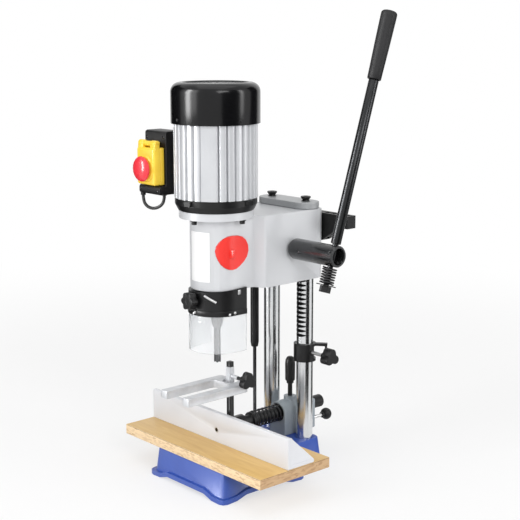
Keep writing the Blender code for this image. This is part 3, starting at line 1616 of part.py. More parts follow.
def switch_lid():
    """Hollow yellow lid with two hinge lugs and the guide hole of the stop knob."""
    back = box_front - 2 * clearance - frame_depth
    front = back - lid_depth
    lid = box("switch_lid", (frame_left, frame_right), (front, back), (frame_low, frame_high), small_edge)
    hinge = hinge_y()
    for start, end in ((frame_left, frame_left + lid_lug_width), (frame_right - lid_lug_width, frame_right)):
        lug = rod("lug", lid_hinge_radius, (start + thin_edge, hinge, lid_hinge_height),
                  (end, hinge, lid_hinge_height), small_sides)
        web = box("web", (start + thin_edge * 2, end - thin_edge),
                  (hinge - lid_hinge_radius + thin_edge, hinge + lid_hinge_radius - thin_edge),
                  (frame_high - small_edge, lid_hinge_height))
        lid = join(lid, lug, web)
    room = box("room", (frame_left + lid_wall, frame_right - lid_wall), (front + lid_wall, back + overrun),
               (frame_low + lid_wall, frame_high - lid_wall))
    middle = (frame_left + frame_right) / 2
    hole = rod("hole", stop_stem_radius + clearance, (middle, front - overrun, stop_knob_height),
               (middle, back, stop_knob_height))
    pin = rod("pin", lid_hinge_radius / 3 + clearance, (frame_left - overrun, hinge, lid_hinge_height),
              (frame_right + overrun, hinge, lid_hinge_height), small_sides)
    return cut(lid, room, hole, pin)


def stop_knob():
    """Red mushroom knob in the lid."""
    front = box_front - 2 * clearance - frame_depth - lid_depth
    middle = (frame_left + frame_right) / 2
    high = stop_knob_gap + stop_knob_depth
    dome = [(stop_knob_radius * across, stop_knob_gap + stop_knob_depth * up) for across, up in dome_shares]
    stem = -lid_wall - clearance
    profile = [(0, high)] + dome + [(stop_knob_radius, stop_knob_gap), (stop_stem_radius, stop_knob_gap),
                                    (stop_stem_radius, stem), (0, stem)]
    return turned("stop_knob", profile, round_sides, (middle, front, stop_knob_height), (0, -1, 0))


def switch_button(name, side):
    """Push button in a well of the frame."""
    back = box_front - clearance - small_edge - button_travel - clearance
    front = box_front - clearance - frame_depth - button_reach
    middle = (frame_left + frame_right) / 2
    height = (frame_low + frame_high) / 2 + side * button_spacing / 2
    return rod(name, button_radius, (middle, front, height), (middle, back, height), small_sides)


def motor_lead():
    """Lead that hangs in a loop from one gland to the other."""
    top = box_low - gland_length - 2 * clearance
    start, end = Vector((*lead_ends[0], top)), Vector((*lead_ends[1], top))
    stations = [start]
    for across, down in lead_shares:
        place = start.lerp(end, across)
        stations.append((place.x, place.y, top - lead_drop * down))
    stations.append(end)
    return tube("motor_lead", smooth_path(stations, lead_points), lead_radius, 2)


def smooth_path(stations, count):
    """Points of a smooth curve through the stations, square to both end faces."""
    places_in = [Vector(station) for station in stations]
    spans = len(places_in) - 1
    points = []
    for step in range(count + 1):
        place = spans * step / count
        span = min(int(place), spans - 1)
        share = place - span
        start = places_in[span]
        end = places_in[span + 1]
        before = places_in[span - 1] if span else start * 2 - end
        after = places_in[span + 2] if span + 2 <= spans else end * 2 - start
        lean_in = (end - before) / 2
        lean_out = (after - start) / 2
        cube = share ** 3
        square = share ** 2
        point = start * (2 * cube - 3 * square + 1) + lean_in * (cube - 2 * square + share)
        point += end * (3 * square - 2 * cube) + lean_out * (cube - square)
        points.append(point)
    points[0] = places_in[0]
    points[-1] = places_in[-1]
    return points


for old in list(bpy.data.objects):
    bpy.data.objects.remove(old)
parts = bpy.data.collections.new("benchtop_mortiser")
bpy.context.scene.collection.children.link(parts)
places = {}

machine = make_holder("machine", (0, 0, 0))
machine.location = (0, -centre_y, 0)
head = make_holder("head_slide_axis", (0, column_y, head_low), machine)
spindle = make_holder("spindle_axis", (0, 0, chuck_low), head)
lever = make_holder("lever_axis", (lever_x, hub_y, hub_height), head)
lever_bar = make_holder("lever_bar_axis", (lever_x, hub_y, hub_height), lever)
door_holder = make_holder("door_axis", (housing_radius, door_mid_y, door_mid_z), head)
clamp_holder = make_holder("clamp_axis", (0, clamp_knob_front, clamp_axis), head)
lid_holder = make_holder("lid_axis", ((frame_left + frame_right) / 2, hinge_y(), lid_hinge_height), head)
stop_holder = make_holder("stop_axis", ((frame_left + frame_right) / 2, hinge_y(), stop_knob_height),
                          lid_holder)
fence_holder = make_holder("fence_axis", (0, 0, shaft_height), machine)
fork_holder = make_holder("fork_axis", (0, post_y, fork_low), fence_holder)
fork_screw_holder = make_holder("fork_screw_axis", (fork_knob_start, post_y, fork_screw_height), fork_holder)
collar_holder = make_holder("collar_axis", (column_half_spacing, column_y, collar_low), machine)
stop_screw_holder = make_holder("stop_screw_axis", (stop_neck_start, column_y, stop_axis), collar_holder)
lock_holder = make_holder("lock_axis", (0, lock_y, lock_grip_low), machine)
keeper_holder = make_holder("keeper_axis", (0, keeper_knob_start, keeper_screw_height), machine)

keep(base_casting(), machine, paint_blue)
keep(work_table(), machine, table_laminate)
keep(column("column_left", -1), machine, chrome)
keep(cut(column("column_right", 1), rack_comb()), machine, chrome, "column_right")
keep(tie_plate(), machine, paint_grey)
keep(tie_bolt("tie_bolt_left", -1), machine, black_steel)
keep(tie_bolt("tie_bolt_right", 1), machine, black_steel)
keep(fence_bracket(), machine, grey_casting)
keep(bracket_keeper(), machine, black_steel)
keep(strut_rod(), machine, chrome)

keep(depth_stop_collar(), collar_holder, black_steel)
keep(depth_stop_screw(), stop_screw_holder, black_plastic)
keep(lock_handle(), lock_holder, black_plastic)
keep(keeper_screw(), keeper_holder, black_plastic)

keep(head_casting(), head, paint_grey)
keep(column_bush("column_bush_left", -1), head, bronze)
keep(column_bush("column_bush_right", 1), head, bronze)
keep(motor_flange(), head, black_steel)
keep(motor_body(), head, cast_aluminium)
stator_low = motor_low + stator_end_gap
stator_high = motor_high - stator_end_gap
keep(ring("stator", stator_inner, motor_bore - clearance, stator_low, stator_high), head, copper)
keep(bearing_carrier(), head, cast_aluminium)
keep(motor_cap(), head, black_gloss)
bearing_bore = rotor_shaft_radius + clearance
upper_bearing = motor_high - carrier_thickness + small_edge + clearance
keep(ring("bearing_lower", bearing_bore, bearing_radius, bearing_low + clearance,
          bearing_low + bearing_width),
     head, steel)
keep(ring("bearing_upper", bearing_bore, bearing_radius, upper_bearing,
          upper_bearing + bearing_width - clearance),
     head, steel)
keep(chisel_holder(), head, black_steel)
keep(chuck_guard(), head, clear_plastic)
keep(mortising_chisel(), head, steel)
keep(tool_holder(), head, black_plastic)
keep(strut_cylinder(), head, black_steel)
keep(switch_box(), head, black_plastic)
keep(switch_bracket(), head, black_steel)
keep(switch_frame(), head, yellow_plastic)
keep(switch_button("on_button", 1), head, green_plastic)
keep(switch_button("off_button", -1), head, red_plastic)
keep(motor_lead(), head, rubber)

keep(rotor_shaft(), spindle, steel)
rotor_inner = rotor_shaft_radius + clearance
keep(ring("rotor", rotor_inner, rotor_radius, stator_low, stator_high), spindle, steel)
keep(cooling_fan(), spindle, black_plastic)
keep(drill_chuck(), spindle, steel)
keep(auger_bit(), spindle, steel)

keep(pinion_shaft(), lever, steel)
keep(pinion(), lever, steel)
keep(lever_hub(), lever, black_steel)
keep(lever_spring(), lever, black_steel)
keep(lever_rod(), lever_bar, black_steel)
keep(lever_grip(), lever_bar, black_plastic)
keep(lever_washer(), lever_bar, black_steel)
keep(lever_nut(), lever_bar, black_steel)

keep(access_door(), door_holder, red_plastic)
keep(clamp_screw(), clamp_holder, black_plastic)
keep(switch_lid(), lid_holder, yellow_plastic)
keep(stop_knob(), stop_holder, red_plastic)

keep(fence(), fence_holder, fence_paint)
keep(fence_shaft(), fence_holder, chrome)
keep(shaft_cap(), fence_holder, black_plastic)
keep(fence_spring(), fence_holder, black_steel)
keep(hold_down_post(), fence_holder, black_steel)
keep(hold_down_fork(), fork_holder, cast_aluminium)
keep(hold_down_screw(), fork_screw_holder, black_plastic)
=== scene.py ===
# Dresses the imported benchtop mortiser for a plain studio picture
import json
import math

import bmesh
import bpy
from mathutils import Matrix, Vector


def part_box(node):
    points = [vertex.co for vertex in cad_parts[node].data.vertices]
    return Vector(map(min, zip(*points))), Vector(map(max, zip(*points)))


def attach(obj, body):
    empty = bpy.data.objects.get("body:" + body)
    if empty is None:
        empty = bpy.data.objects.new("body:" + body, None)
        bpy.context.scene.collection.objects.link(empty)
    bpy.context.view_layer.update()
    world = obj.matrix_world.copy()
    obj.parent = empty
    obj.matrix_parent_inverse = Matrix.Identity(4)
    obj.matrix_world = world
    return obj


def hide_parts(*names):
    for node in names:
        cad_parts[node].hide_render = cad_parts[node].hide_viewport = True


with open("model.json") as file:
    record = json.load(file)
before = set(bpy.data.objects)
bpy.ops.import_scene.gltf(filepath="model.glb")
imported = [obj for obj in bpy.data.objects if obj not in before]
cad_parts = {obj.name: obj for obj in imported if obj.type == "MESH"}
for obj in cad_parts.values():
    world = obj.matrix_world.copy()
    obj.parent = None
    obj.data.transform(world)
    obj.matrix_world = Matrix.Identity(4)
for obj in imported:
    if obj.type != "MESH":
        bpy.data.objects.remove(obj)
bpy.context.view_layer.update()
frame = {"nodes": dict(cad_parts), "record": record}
print("frame loaded")

mm = 0.001
scene = bpy.context.scene
scene.view_settings.view_transform = "Standard"


# Camera first, at the photograph's angle
cameraSetup = {
    "place": (1.4579, -1.2919, 0.7458),
    "heading": 48.5798,
    "down": 11.1397,
    "roll": -0.0986,
    "lens": 82.71,
    "sensor": 36,
    "shiftX": 0.0115,
    "shiftY": -0.0012,
    "reach": 20,
}


def makeCamera():
    s = cameraSetup
    data = bpy.data.cameras.new("camera")
    data.sensor_width = s["sensor"]
    data.lens = s["lens"]
    data.shift_x = s["shiftX"]
    data.shift_y = s["shiftY"]
    data.clip_end = s["reach"]
    camera = bpy.data.objects.new("camera", data)
    scene.collection.objects.link(camera)
    turn = Matrix.Rotation(math.radians(s["heading"]), 4, "Z")
    turn = turn @ Matrix.Rotation(math.radians(90 - s["down"]), 4, "X")
    turn = turn @ Matrix.Rotation(math.radians(s["roll"]), 4, "Z")
    camera.matrix_world = Matrix.Translation(s["place"]) @ turn
    scene.camera = camera


makeCamera()


# Shader nodes, and the two groups that the finishes share
def feed(tree, node, feeds):
    # Each socket named gets a link from another socket, or a plain value
    for label, value in feeds.items():
        if isinstance(value, bpy.types.NodeSocket):
            tree.links.new(value, node.inputs[label])
        else:
            node.inputs[label].default_value = value


def addNode(tree, kind, feeds=None, **settings):
    node = tree.nodes.new("ShaderNode" + kind)
    node.location = (200 * len(tree.nodes) - 1800, -120 * (len(tree.nodes) % 4))
    for key, value in settings.items():
        setattr(node, key, value)
    feed(tree, node, feeds or {})
    return node


def startGroup(name, inputs):
    # Every group takes two colours, a gloss and its spread, and gives a colour, a roughness and a height
    group = bpy.data.node_groups.new(name, "ShaderNodeTree")
    inputs = {"Color": "Color", "Deep Color": "Color", "Gloss": "Float", "Gloss Spread": "Float", **inputs}
    outputs = {"Color": "Color", "Roughness": "Float", "Height": "Float"}
    for side, sockets in (("INPUT", inputs), ("OUTPUT", outputs)):
        for label, kind in sockets.items():
            group.interface.new_socket(name=label, in_out=side, socket_type="NodeSocket" + kind)
    return group, group.nodes.new("NodeGroupInput").outputs


def endGroup(group, given, share, cloud, height):
    # The colour goes to the deep one by share, and the roughness follows the cloud
    tint = addNode(group, "Mix",
                   {"Factor": share, "A": given["Color"], "B": given["Deep Color"]}, data_type="RGBA")
    rough = addNode(group, "Math",
                    {0: cloud, 1: given["Gloss Spread"], 2: given["Gloss"]}, operation="MULTIPLY_ADD")
    sink = group.nodes.new("NodeGroupOutput")
    feed(group, sink, {"Color": tint.outputs["Result"], "Roughness": rough.outputs[0], "Height": height})
    return group


def makeSkinGroup():
    # Cloudy colour, uneven gloss and a fine height for paint, plastic and castings
    group, given = startGroup("surfaceSkin", {"Dust": "Float", "Cloud Size": "Float", "Grain Size": "Float"})
    spot = addNode(group, "TexCoord").outputs["Object"]
    clouds = addNode(group, "TexNoise", {
        "Vector": spot, "Scale": given["Cloud Size"], "Detail": 6, "Roughness": 0.6}).outputs["Fac"]
    grain = addNode(group, "TexNoise", {
        "Vector": spot, "Scale": given["Grain Size"], "Detail": 3}).outputs["Fac"]
    shape = addNode(group, "MapRange", {"Value": clouds, "From Min": 0.35, "From Max": 0.68})
    amount = addNode(group, "Math", {0: shape.outputs["Result"], 1: given["Dust"]},
                     operation="MULTIPLY")
    return endGroup(group, given, amount.outputs[0], clouds, grain)


def makeStreakGroup():
    # Fine lines along or around a piece for ground, turned and brushed metal
    group, given = startGroup("toolMarks", {"Stretch": "Vector", "Line Size": "Float"})
    spot = addNode(group, "TexCoord").outputs["Object"]
    scaled = addNode(group, "VectorMath", {0: spot, 1: given["Stretch"]}, operation="MULTIPLY")
    lines = addNode(group, "TexNoise", {
        "Vector": scaled.outputs[0], "Scale": given["Line Size"], "Detail": 4}).outputs["Fac"]
    return endGroup(group, given, lines, lines, lines)


skinGroup = makeSkinGroup()
streakGroup = makeStreakGroup()


def startMaterial(name, feeds):
    material = bpy.data.materials.new(name)
    material.use_nodes = True
    tree = material.node_tree
    shader = tree.nodes["Principled BSDF"]
    feed(tree, shader, feeds)
    return material, tree, shader


def addBump(tree, shader, height, strength, distance):
    bump = addNode(tree, "Bump", {"Height": height, "Strength": strength, "Distance": distance * mm})
    feed(tree, shader, {"Normal": bump.outputs["Normal"]})


shineSockets = {"metal": "Metallic", "coat": "Coat Weight", "coatRough": "Coat Roughness",
                "specular": "Specular IOR Level", "clear": "Transmission Weight", "bend": "IOR"}


def groupFinish(name, group, values, bump, depth, shine):
    # Colour, roughness and height come from the group, and the rest is set on the shader
    material, tree, shader = startMaterial(name, {shineSockets[key]: value for key, value in shine.items()})
    skin = addNode(tree, "Group", values, node_tree=group).outputs
    feed(tree, shader, {"Base Color": skin["Color"], "Roughness": skin["Roughness"]})
    addBump(tree, shader, skin["Height"], bump, depth)
    return material


# Paint, plastic and castings: colour and deep colour, then gloss, its spread, dust, cloud size, grain size,
# bump and its depth in mm, then what else the shader needs
skinLooks = {
    "headPaint": ((0.60, 0.61, 0.63), (0.55, 0.56, 0.58),
                  (0.30, 0.14, 0.5, 9, 260, 0.10, 0.25), {"coat": 0.25, "coatRough": 0.25}),
    "platePaint": ((0.36, 0.37, 0.38), (0.30, 0.31, 0.32),
                   (0.34, 0.16, 0.6, 16, 300, 0.12, 0.25), {"coat": 0.2}),
    "fencePaint": ((0.70, 0.71, 0.74), (0.64, 0.65, 0.68),
                   (0.36, 0.14, 0.5, 9, 300, 0.10, 0.25), {"coat": 0.2}),
    "bluePaint": ((0.036, 0.094, 0.43), (0.024, 0.070, 0.35),
                  (0.28, 0.16, 0.6, 14, 240, 0.16, 0.35), {"coat": 0.15, "coatRough": 0.2}),
    "bracketPaint": ((0.30, 0.34, 0.37), (0.23, 0.26, 0.29),
                     (0.34, 0.18, 0.7, 24, 380, 0.25, 0.3), {"coat": 0.15}),
    "motorPaint": ((0.58, 0.59, 0.61), (0.50, 0.51, 0.53),
                   (0.27, 0.12, 0.6, 20, 500, 0.03, 0.1), {"metal": 0.2, "coat": 0.12}),
    "discPaint": ((0.14, 0.145, 0.15), (0.10, 0.105, 0.11),
                  (0.28, 0.12, 0.6, 20, 300, 0.05, 0.2), {"coat": 0.3}),
    "blackGloss": ((0.004, 0.004, 0.0045), (0.006, 0.006, 0.007),
                   (0.15, 0.08, 0.5, 10, 180, 0.02, 0.2), {"specular": 0.30}),
    "blackSatin": ((0.006, 0.006, 0.0065), (0.012, 0.012, 0.0125),
                   (0.26, 0.18, 0.7, 30, 600, 0.10, 0.15), {"specular": 0.30}),
    "blackPlastic": ((0.007, 0.007, 0.0075), (0.014, 0.014, 0.015),
                     (0.34, 0.16, 0.7, 30, 1400, 0.20, 0.12), {"specular": 0.28}),
    "gripRubber": ((0.011, 0.011, 0.012), (0.020, 0.020, 0.021),
                   (0.48, 0.16, 0.7, 30, 1600, 0.35, 0.15), {"specular": 0.28}),
    "leadSheath": ((0.012, 0.012, 0.012), (0.022, 0.022, 0.022), (0.42, 0.14, 0.7, 60, 1500, 0.15, 0.1), {}),
    "redPlastic": ((0.86, 0.036, 0.026), (0.74, 0.022, 0.016),
                   (0.26, 0.12, 0.5, 24, 1200, 0.10, 0.1), {"coat": 0.2}),
    "stopRed": ((0.86, 0.035, 0.055), (0.70, 0.020, 0.035),
                (0.22, 0.12, 0.5, 24, 1200, 0.08, 0.1), {"coat": 0.2}),
    "yellowPlastic": ((0.98, 0.68, 0.055), (0.94, 0.58, 0.035),
                      (0.28, 0.12, 0.5, 24, 1200, 0.10, 0.1), {"coat": 0.15}),
    "greenPlastic": ((0.02, 0.32, 0.06), (0.012, 0.22, 0.04), (0.28, 0.12, 0.5, 24, 1200, 0.1, 0.1), {}),
    "labelPaper": ((0.84, 0.84, 0.84), (0.80, 0.80, 0.81), (0.34, 0.1, 0.5, 30, 900, 0.03, 0.05), {}),
    "sheetEdge": ((0.10, 0.055, 0.025), (0.06, 0.032, 0.015), (0.5, 0.2, 0.8, 60, 900, 0.2, 0.1), {}),
    "castAluminium": ((0.64, 0.65, 0.67), (0.50, 0.51, 0.53),
                      (0.34, 0.18, 0.8, 36, 420, 0.30, 0.3), {"metal": 0.45}),
    "bronze": ((0.45, 0.27, 0.10), (0.33, 0.19, 0.07), (0.30, 0.15, 0.7, 40, 500, 0.1, 0.1), {"metal": 1.0}),
    "copper": ((0.60, 0.28, 0.13), (0.42, 0.18, 0.08), (0.35, 0.15, 0.7, 40, 500, 0.2, 0.3), {"metal": 1.0}),
    "springSteel": ((0.050, 0.050, 0.052), (0.020, 0.020, 0.021),
                    (0.26, 0.2, 0.7, 90, 700, 0.1, 0.1), {"metal": 0.7}),
    "zinc": ((0.62, 0.62, 0.62), (0.45, 0.45, 0.46), (0.26, 0.16, 0.7, 60, 900, 0.08, 0.1), {"metal": 1.0}),
    "clearGuard": ((0.93, 0.94, 0.95), (0.86, 0.88, 0.90),
                   (0.08, 0.10, 0.5, 12, 400, 0.04, 0.1), {"clear": 0.76, "bend": 1.22}),
}
# Bare metal: colour and deep colour, then gloss, its spread, the lines' stretch and size, bump and depth
streakLooks = {
    "chrome": ((0.76, 0.77, 0.78), (0.64, 0.65, 0.66), (0.14, 0.10, (30, 30, 1), 12, 0.02, 0.05), {}),
    "groundSteel": ((0.56, 0.57, 0.58), (0.38, 0.39, 0.40), (0.20, 0.16, (1, 1, 26), 60, 0.10, 0.05), {}),
    "chiselSteel": ((0.19, 0.192, 0.196), (0.06, 0.061, 0.063),
                    (0.18, 0.18, (30, 30, 1), 30, 0.10, 0.05), {}),
    "rodSteel": ((0.040, 0.041, 0.043), (0.020, 0.021, 0.022),
                 (0.20, 0.14, (22, 22, 1), 30, 0.06, 0.05), {"metal": 0.85}),
    "hubSteel": ((0.060, 0.061, 0.064), (0.028, 0.029, 0.030),
                 (0.18, 0.12, (30, 1, 1), 40, 0.08, 0.05), {"metal": 0.85, "coat": 0.3}),
    "rackShade": ((0.05, 0.05, 0.052), (0.02, 0.02, 0.021),
                  (0.35, 0.2, (1, 1, 20), 60, 0.1, 0.05), {"metal": 0.6}),
}
boardLook = {
    "grainScale": (3.2, 26, 26), "grainSize": 3.5, "grainDetail": 8, "grainRough": 0.62, "grainBend": 0.8,
    "top": ((0.3, (0.60, 0.36, 0.115)), (0.72, (0.74, 0.50, 0.185))),
    "chipScale": (0.32, 0.32, 1), "chipSize": 420,
    "edge": ((0.0, (0.56, 0.36, 0.19)), (0.55, (0.84, 0.63, 0.38))),
    "paintedEndShade": (0.68, 0.60, 0.55),  # painted shade: the board's ends, which face along x, are tinted darker than the long edges
    "edgeRough": 0.75, "topRough": 0.38, "bump": 0.15, "depth": 0.15,
}


def addRamp(tree, share, stops):
    ramp = addNode(tree, "ValToRGB", {"Fac": share})
    for element, (place, colour) in zip(ramp.color_ramp.elements, stops):
        element.position = place
        element.color = (*colour, 1)
    return ramp.outputs["Color"]


def laminateFinish():
    # Printed wood face on top, pale chips round the edges, told apart by the surface's own normal, and the
    # ends facing along x darkened as painted shade
    s = boardLook
    material, tree, shader = startMaterial("boardLaminate", {})
    spot = addNode(tree, "TexCoord").outputs["Object"]
    place = addNode(tree, "Mapping", {"Vector": spot, "Scale": s["grainScale"]})
    figure = addNode(tree, "TexNoise", {
        "Vector": place.outputs["Vector"], "Scale": s["grainSize"], "Detail": s["grainDetail"],
        "Roughness": s["grainRough"], "Distortion": s["grainBend"]})
    top = addRamp(tree, figure.outputs["Fac"], s["top"])
    stretch = addNode(tree, "Mapping", {"Vector": spot, "Scale": s["chipScale"]})
    chips = addNode(tree, "TexVoronoi", {
        "Vector": stretch.outputs["Vector"], "Scale": s["chipSize"]})
    tone = addNode(tree, "RGBToBW", {"Color": chips.outputs["Color"]})
    edge = addRamp(tree, tone.outputs["Val"], s["edge"])
    lies = addNode(tree, "NewGeometry")
    split = addNode(tree, "SeparateXYZ", {"Vector": lies.outputs["True Normal"]}).outputs
    flat = addNode(tree, "Math", {0: split["Z"]}, operation="ABSOLUTE")
    face = addNode(tree, "Math", {0: flat.outputs[0], 1: 0.7}, operation="GREATER_THAN")
    # painted shade: faces turned along x get a darker tint
    end = addNode(tree, "Math", {0: split["X"]}, operation="ABSOLUTE")
    endShaded = addNode(tree, "Mix", {"Factor": end.outputs[0], "A": edge, "B": (*s["paintedEndShade"], 1)},
                    data_type="RGBA", blend_type="MULTIPLY")
    mix = addNode(tree, "Mix", {
        "Factor": face.outputs[0], "A": endShaded.outputs["Result"], "B": top}, data_type="RGBA")
    gloss = addNode(tree, "MapRange", {
        "Value": face.outputs[0], "To Min": s["edgeRough"], "To Max": s["topRough"]})
    feed(tree, shader, {"Base Color": mix.outputs["Result"], "Roughness": gloss.outputs["Result"]})
    addBump(tree, shader, chips.outputs["Distance"], s["bump"], s["depth"])
    return material


skinLabels = ("Gloss", "Gloss Spread", "Dust", "Cloud Size", "Grain Size")
streakLabels = ("Gloss", "Gloss Spread", "Stretch", "Line Size")
finish = {"boardLaminate": laminateFinish()}
for looks, group, labels, usual in ((skinLooks, skinGroup, skinLabels, {"coatRough": 0.1}),
                                    (streakLooks, streakGroup, streakLabels, {"metal": 1.0})):
    for name, (colour, deep, numbers, shine) in looks.items():
        values = {"Color": (*colour, 1), "Deep Color": (*deep, 1), **dict(zip(labels, numbers))}
        finish[name] = groupFinish(name, group, values, *numbers[-2:], {**usual, **shine})
print("finishes made")


# Shapes are drawn in millimetres with the spindle at x and y 0, then moved to the CAD's place
spindleLine = 86
toWorld = Matrix.Scale(mm, 4) @ Matrix.Translation((0, -spindleLine, 0))
bodies = frame["record"]["behaviour"]["bodies"]
bodyOf = {node: body for body, members in bodies.items() for node in members}


def nodeBox(node):
    # A CAD node's lowest and highest corners, in the drawing's millimetres
    return [corner / mm + Vector((0, spindleLine, 0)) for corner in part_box(node)]


def dress(piece, node, look):
    # The piece gets its finish and rides on the CAD node's body
    piece.data.materials.clear()
    piece.data.materials.append(finish[look])
    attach(piece, bodyOf[node])


def standIn(piece, node, look):
    # The same, and the piece takes the CAD node's place
    dress(piece, node, look)
    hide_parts(node)


def shadeSoft(mesh, angle):
    mesh.shade_smooth()
    mesh.set_sharp_from_angle(angle=math.radians(angle))


def addPiece(data, name):
    piece = bpy.data.objects.new(name, data)
    scene.collection.objects.link(piece)
    return piece


def meshObject(form, name, angle=38):
    mesh = bpy.data.meshes.new(name)
    form.to_mesh(mesh)
    form.free()
    if angle:
        shadeSoft(mesh, angle)
    return addPiece(mesh, name)


def drawn(form, name, angle=38):
    bmesh.ops.transform(form, matrix=toWorld, verts=form.verts)
    return meshObject(form, name, angle)


def mergedCopy(node):
    form = bmesh.new()
    form.from_mesh(frame["nodes"][node].data)
    bmesh.ops.remove_doubles(form, verts=form.verts, dist=0.004 * mm)
    bmesh.ops.dissolve_limit(form, angle_limit=math.radians(1.0), verts=form.verts, edges=form.edges)
    return form


def lathe(profile, steps=64, at=(0, 0, 0), toward=(0, 0, 1), closed=False):
    # Spins (radius, height) points about a line that starts at a place and runs toward a direction
    form = bmesh.new()
    points = [form.verts.new((radius, 0, height)) for radius, height in profile]
    pairs = list(zip(points, points[1:]))
    if closed:
        pairs.append((points[-1], points[0]))
    edges = [form.edges.new(pair) for pair in pairs]
    bmesh.ops.spin(form, geom=points + edges, axis=(0, 0, 1), cent=(0, 0, 0), angle=2 * math.pi, steps=steps,
                   use_merge=True)
    bmesh.ops.remove_doubles(form, verts=form.verts, dist=0.0005)
    bmesh.ops.recalc_face_normals(form, faces=form.faces)
    turn = Vector((0, 0, 1)).rotation_difference(Vector(toward)).to_matrix()
    bmesh.ops.rotate(form, verts=form.verts, cent=(0, 0, 0), matrix=turn)
    bmesh.ops.translate(form, verts=form.verts, vec=at)
    return form


def pin(radius, low, high, steps=32, at=(0, 0, 0), toward=(0, 0, 1)):
    return lathe([(0, low), (radius, low), (radius, high), (0, high)], steps, at, toward)


def ringPoint(turn, radius, middle=(0, 0)):
    turn = math.radians(turn)
    return middle[0] + radius * math.cos(turn), middle[1] + radius * math.sin(turn)


def arcPoints(middle, radius, first, last, steps):
    return [ringPoint(first + (last - first) * step / steps, radius, middle) for step in range(steps + 1)]


def around(turn, radius, height=0):
    return Vector((*ringPoint(turn, radius), height))


def vertsOf(made):
    return [item for item in made["geom"] if isinstance(item, bmesh.types.BMVert)]


def prism(outline, low, high, axis="Z"):
    # Extrudes an outline: axis Z takes (x, y), X takes (y, z) and Y takes (x, z)
    form = bmesh.new()
    lay = {"Z": lambda a, b: (a, b, low), "X": lambda a, b: (low, a, b), "Y": lambda a, b: (a, low, b)}[axis]
    face = form.faces.new([form.verts.new(lay(a, b)) for a, b in outline])
    raised = bmesh.ops.extrude_face_region(form, geom=[face])
    away = {"Z": (0, 0, 1), "X": (1, 0, 0), "Y": (0, 1, 0)}[axis]
    bmesh.ops.translate(form, verts=vertsOf(raised), vec=Vector(away) * (high - low))
    bmesh.ops.recalc_face_normals(form, faces=form.faces)
    return form


def sleeve(outer, inner, low, high):
    # A closed wall between two outlines with the same number of points
    form = bmesh.new()
    rims = []
    for outline in (outer, inner):
        ring = [form.verts.new((x, y, low)) for x, y in outline]
        edges = [form.edges.new((ring[index - 1], ring[index])) for index in range(len(ring))]
        raised = bmesh.ops.extrude_edge_only(form, edges=edges)
        top = vertsOf(raised)
        bmesh.ops.translate(form, verts=top, vec=(0, 0, high - low))
        upper = set(top)
        rims.append((edges, [edge for edge in form.edges if set(edge.verts) <= upper]))
    bmesh.ops.bridge_loops(form, edges=rims[0][0] + rims[1][0])
    bmesh.ops.bridge_loops(form, edges=rims[0][1] + rims[1][1])
    bmesh.ops.recalc_face_normals(form, faces=form.faces)
    return form


def soften(form, width, segments=2, above=30, where=None):
    edges = [edge for edge in form.edges if len(edge.link_faces) == 2
             and edge.calc_face_angle(0) > math.radians(above) and (where is None or where(edge))]
    bmesh.ops.bevel(form, geom=edges, offset=width, offset_type="OFFSET", segments=segments, profile=0.5,
                    affect="EDGES", clamp_overlap=True, material=-1)
    return form


def block(x, y, z, width=0, segments=2):
    form = bmesh.new()
    bmesh.ops.create_cube(form, size=1)
    bmesh.ops.scale(form, vec=(x[1] - x[0], y[1] - y[0], z[1] - z[0]), verts=form.verts)
    middle = [(side[0] + side[1]) / 2 for side in (x, y, z)]
    bmesh.ops.translate(form, verts=form.verts, vec=middle)
    if width:
        soften(form, width, segments)
    return form


def turned(form, turn):
    # Turns a form about the spindle
    matrix = Matrix.Rotation(math.radians(turn), 3, "Z")
    bmesh.ops.rotate(form, verts=form.verts, cent=(0, 0, 0), matrix=matrix)
    return form


def gather(forms):
    # Puts several closed forms in one
    whole, *others = forms
    for extra in others:
        mesh = bpy.data.meshes.new("extra")
        extra.to_mesh(mesh)
        whole.from_mesh(mesh)
        extra.free()
        bpy.data.meshes.remove(mesh)
    return whole


def ringScrews(profile, radius, places, steps=28):
    # Screw heads that face away from the spindle, each at a turn and a height
    return gather([lathe(profile, steps, around(turn, radius, height), around(turn, 1))
                   for turn, height in places])


def bakedMesh(holder):
    graph = bpy.context.evaluated_depsgraph_get()
    return bpy.data.meshes.new_from_object(holder.evaluated_get(graph))


def carve(piece, form, operation="DIFFERENCE", angle=38):
    # Boolean with another form, applied
    tool = drawn(form, "tool")
    cutter = piece.modifiers.new("cut", "BOOLEAN")
    cutter.operation = operation
    cutter.solver = "EXACT"
    cutter.object = tool
    mesh = bakedMesh(piece)
    piece.modifiers.clear()
    piece.data = mesh
    bpy.data.objects.remove(tool)
    shadeSoft(mesh, angle)
    return piece


def wireCurve(points, radius, name, sides):
    curve = bpy.data.curves.new(name, "CURVE")
    curve.dimensions = "3D"
    curve.bevel_depth = radius * mm
    curve.bevel_resolution = sides
    line = curve.splines.new("POLY")
    line.points.add(len(points) - 1)
    for point, place in zip(line.points, points):
        point.co = (*place, 1)
    return curve, line


def wireMesh(points, radius, name, sides=5):
    curve = wireCurve([toWorld @ point for point in points], radius, name, sides)[0]
    curve.use_fill_caps = True
    holder = addPiece(curve, name)
    mesh = bakedMesh(holder)
    bpy.data.objects.remove(holder)
    shadeSoft(mesh, 50)
    return addPiece(mesh, name)


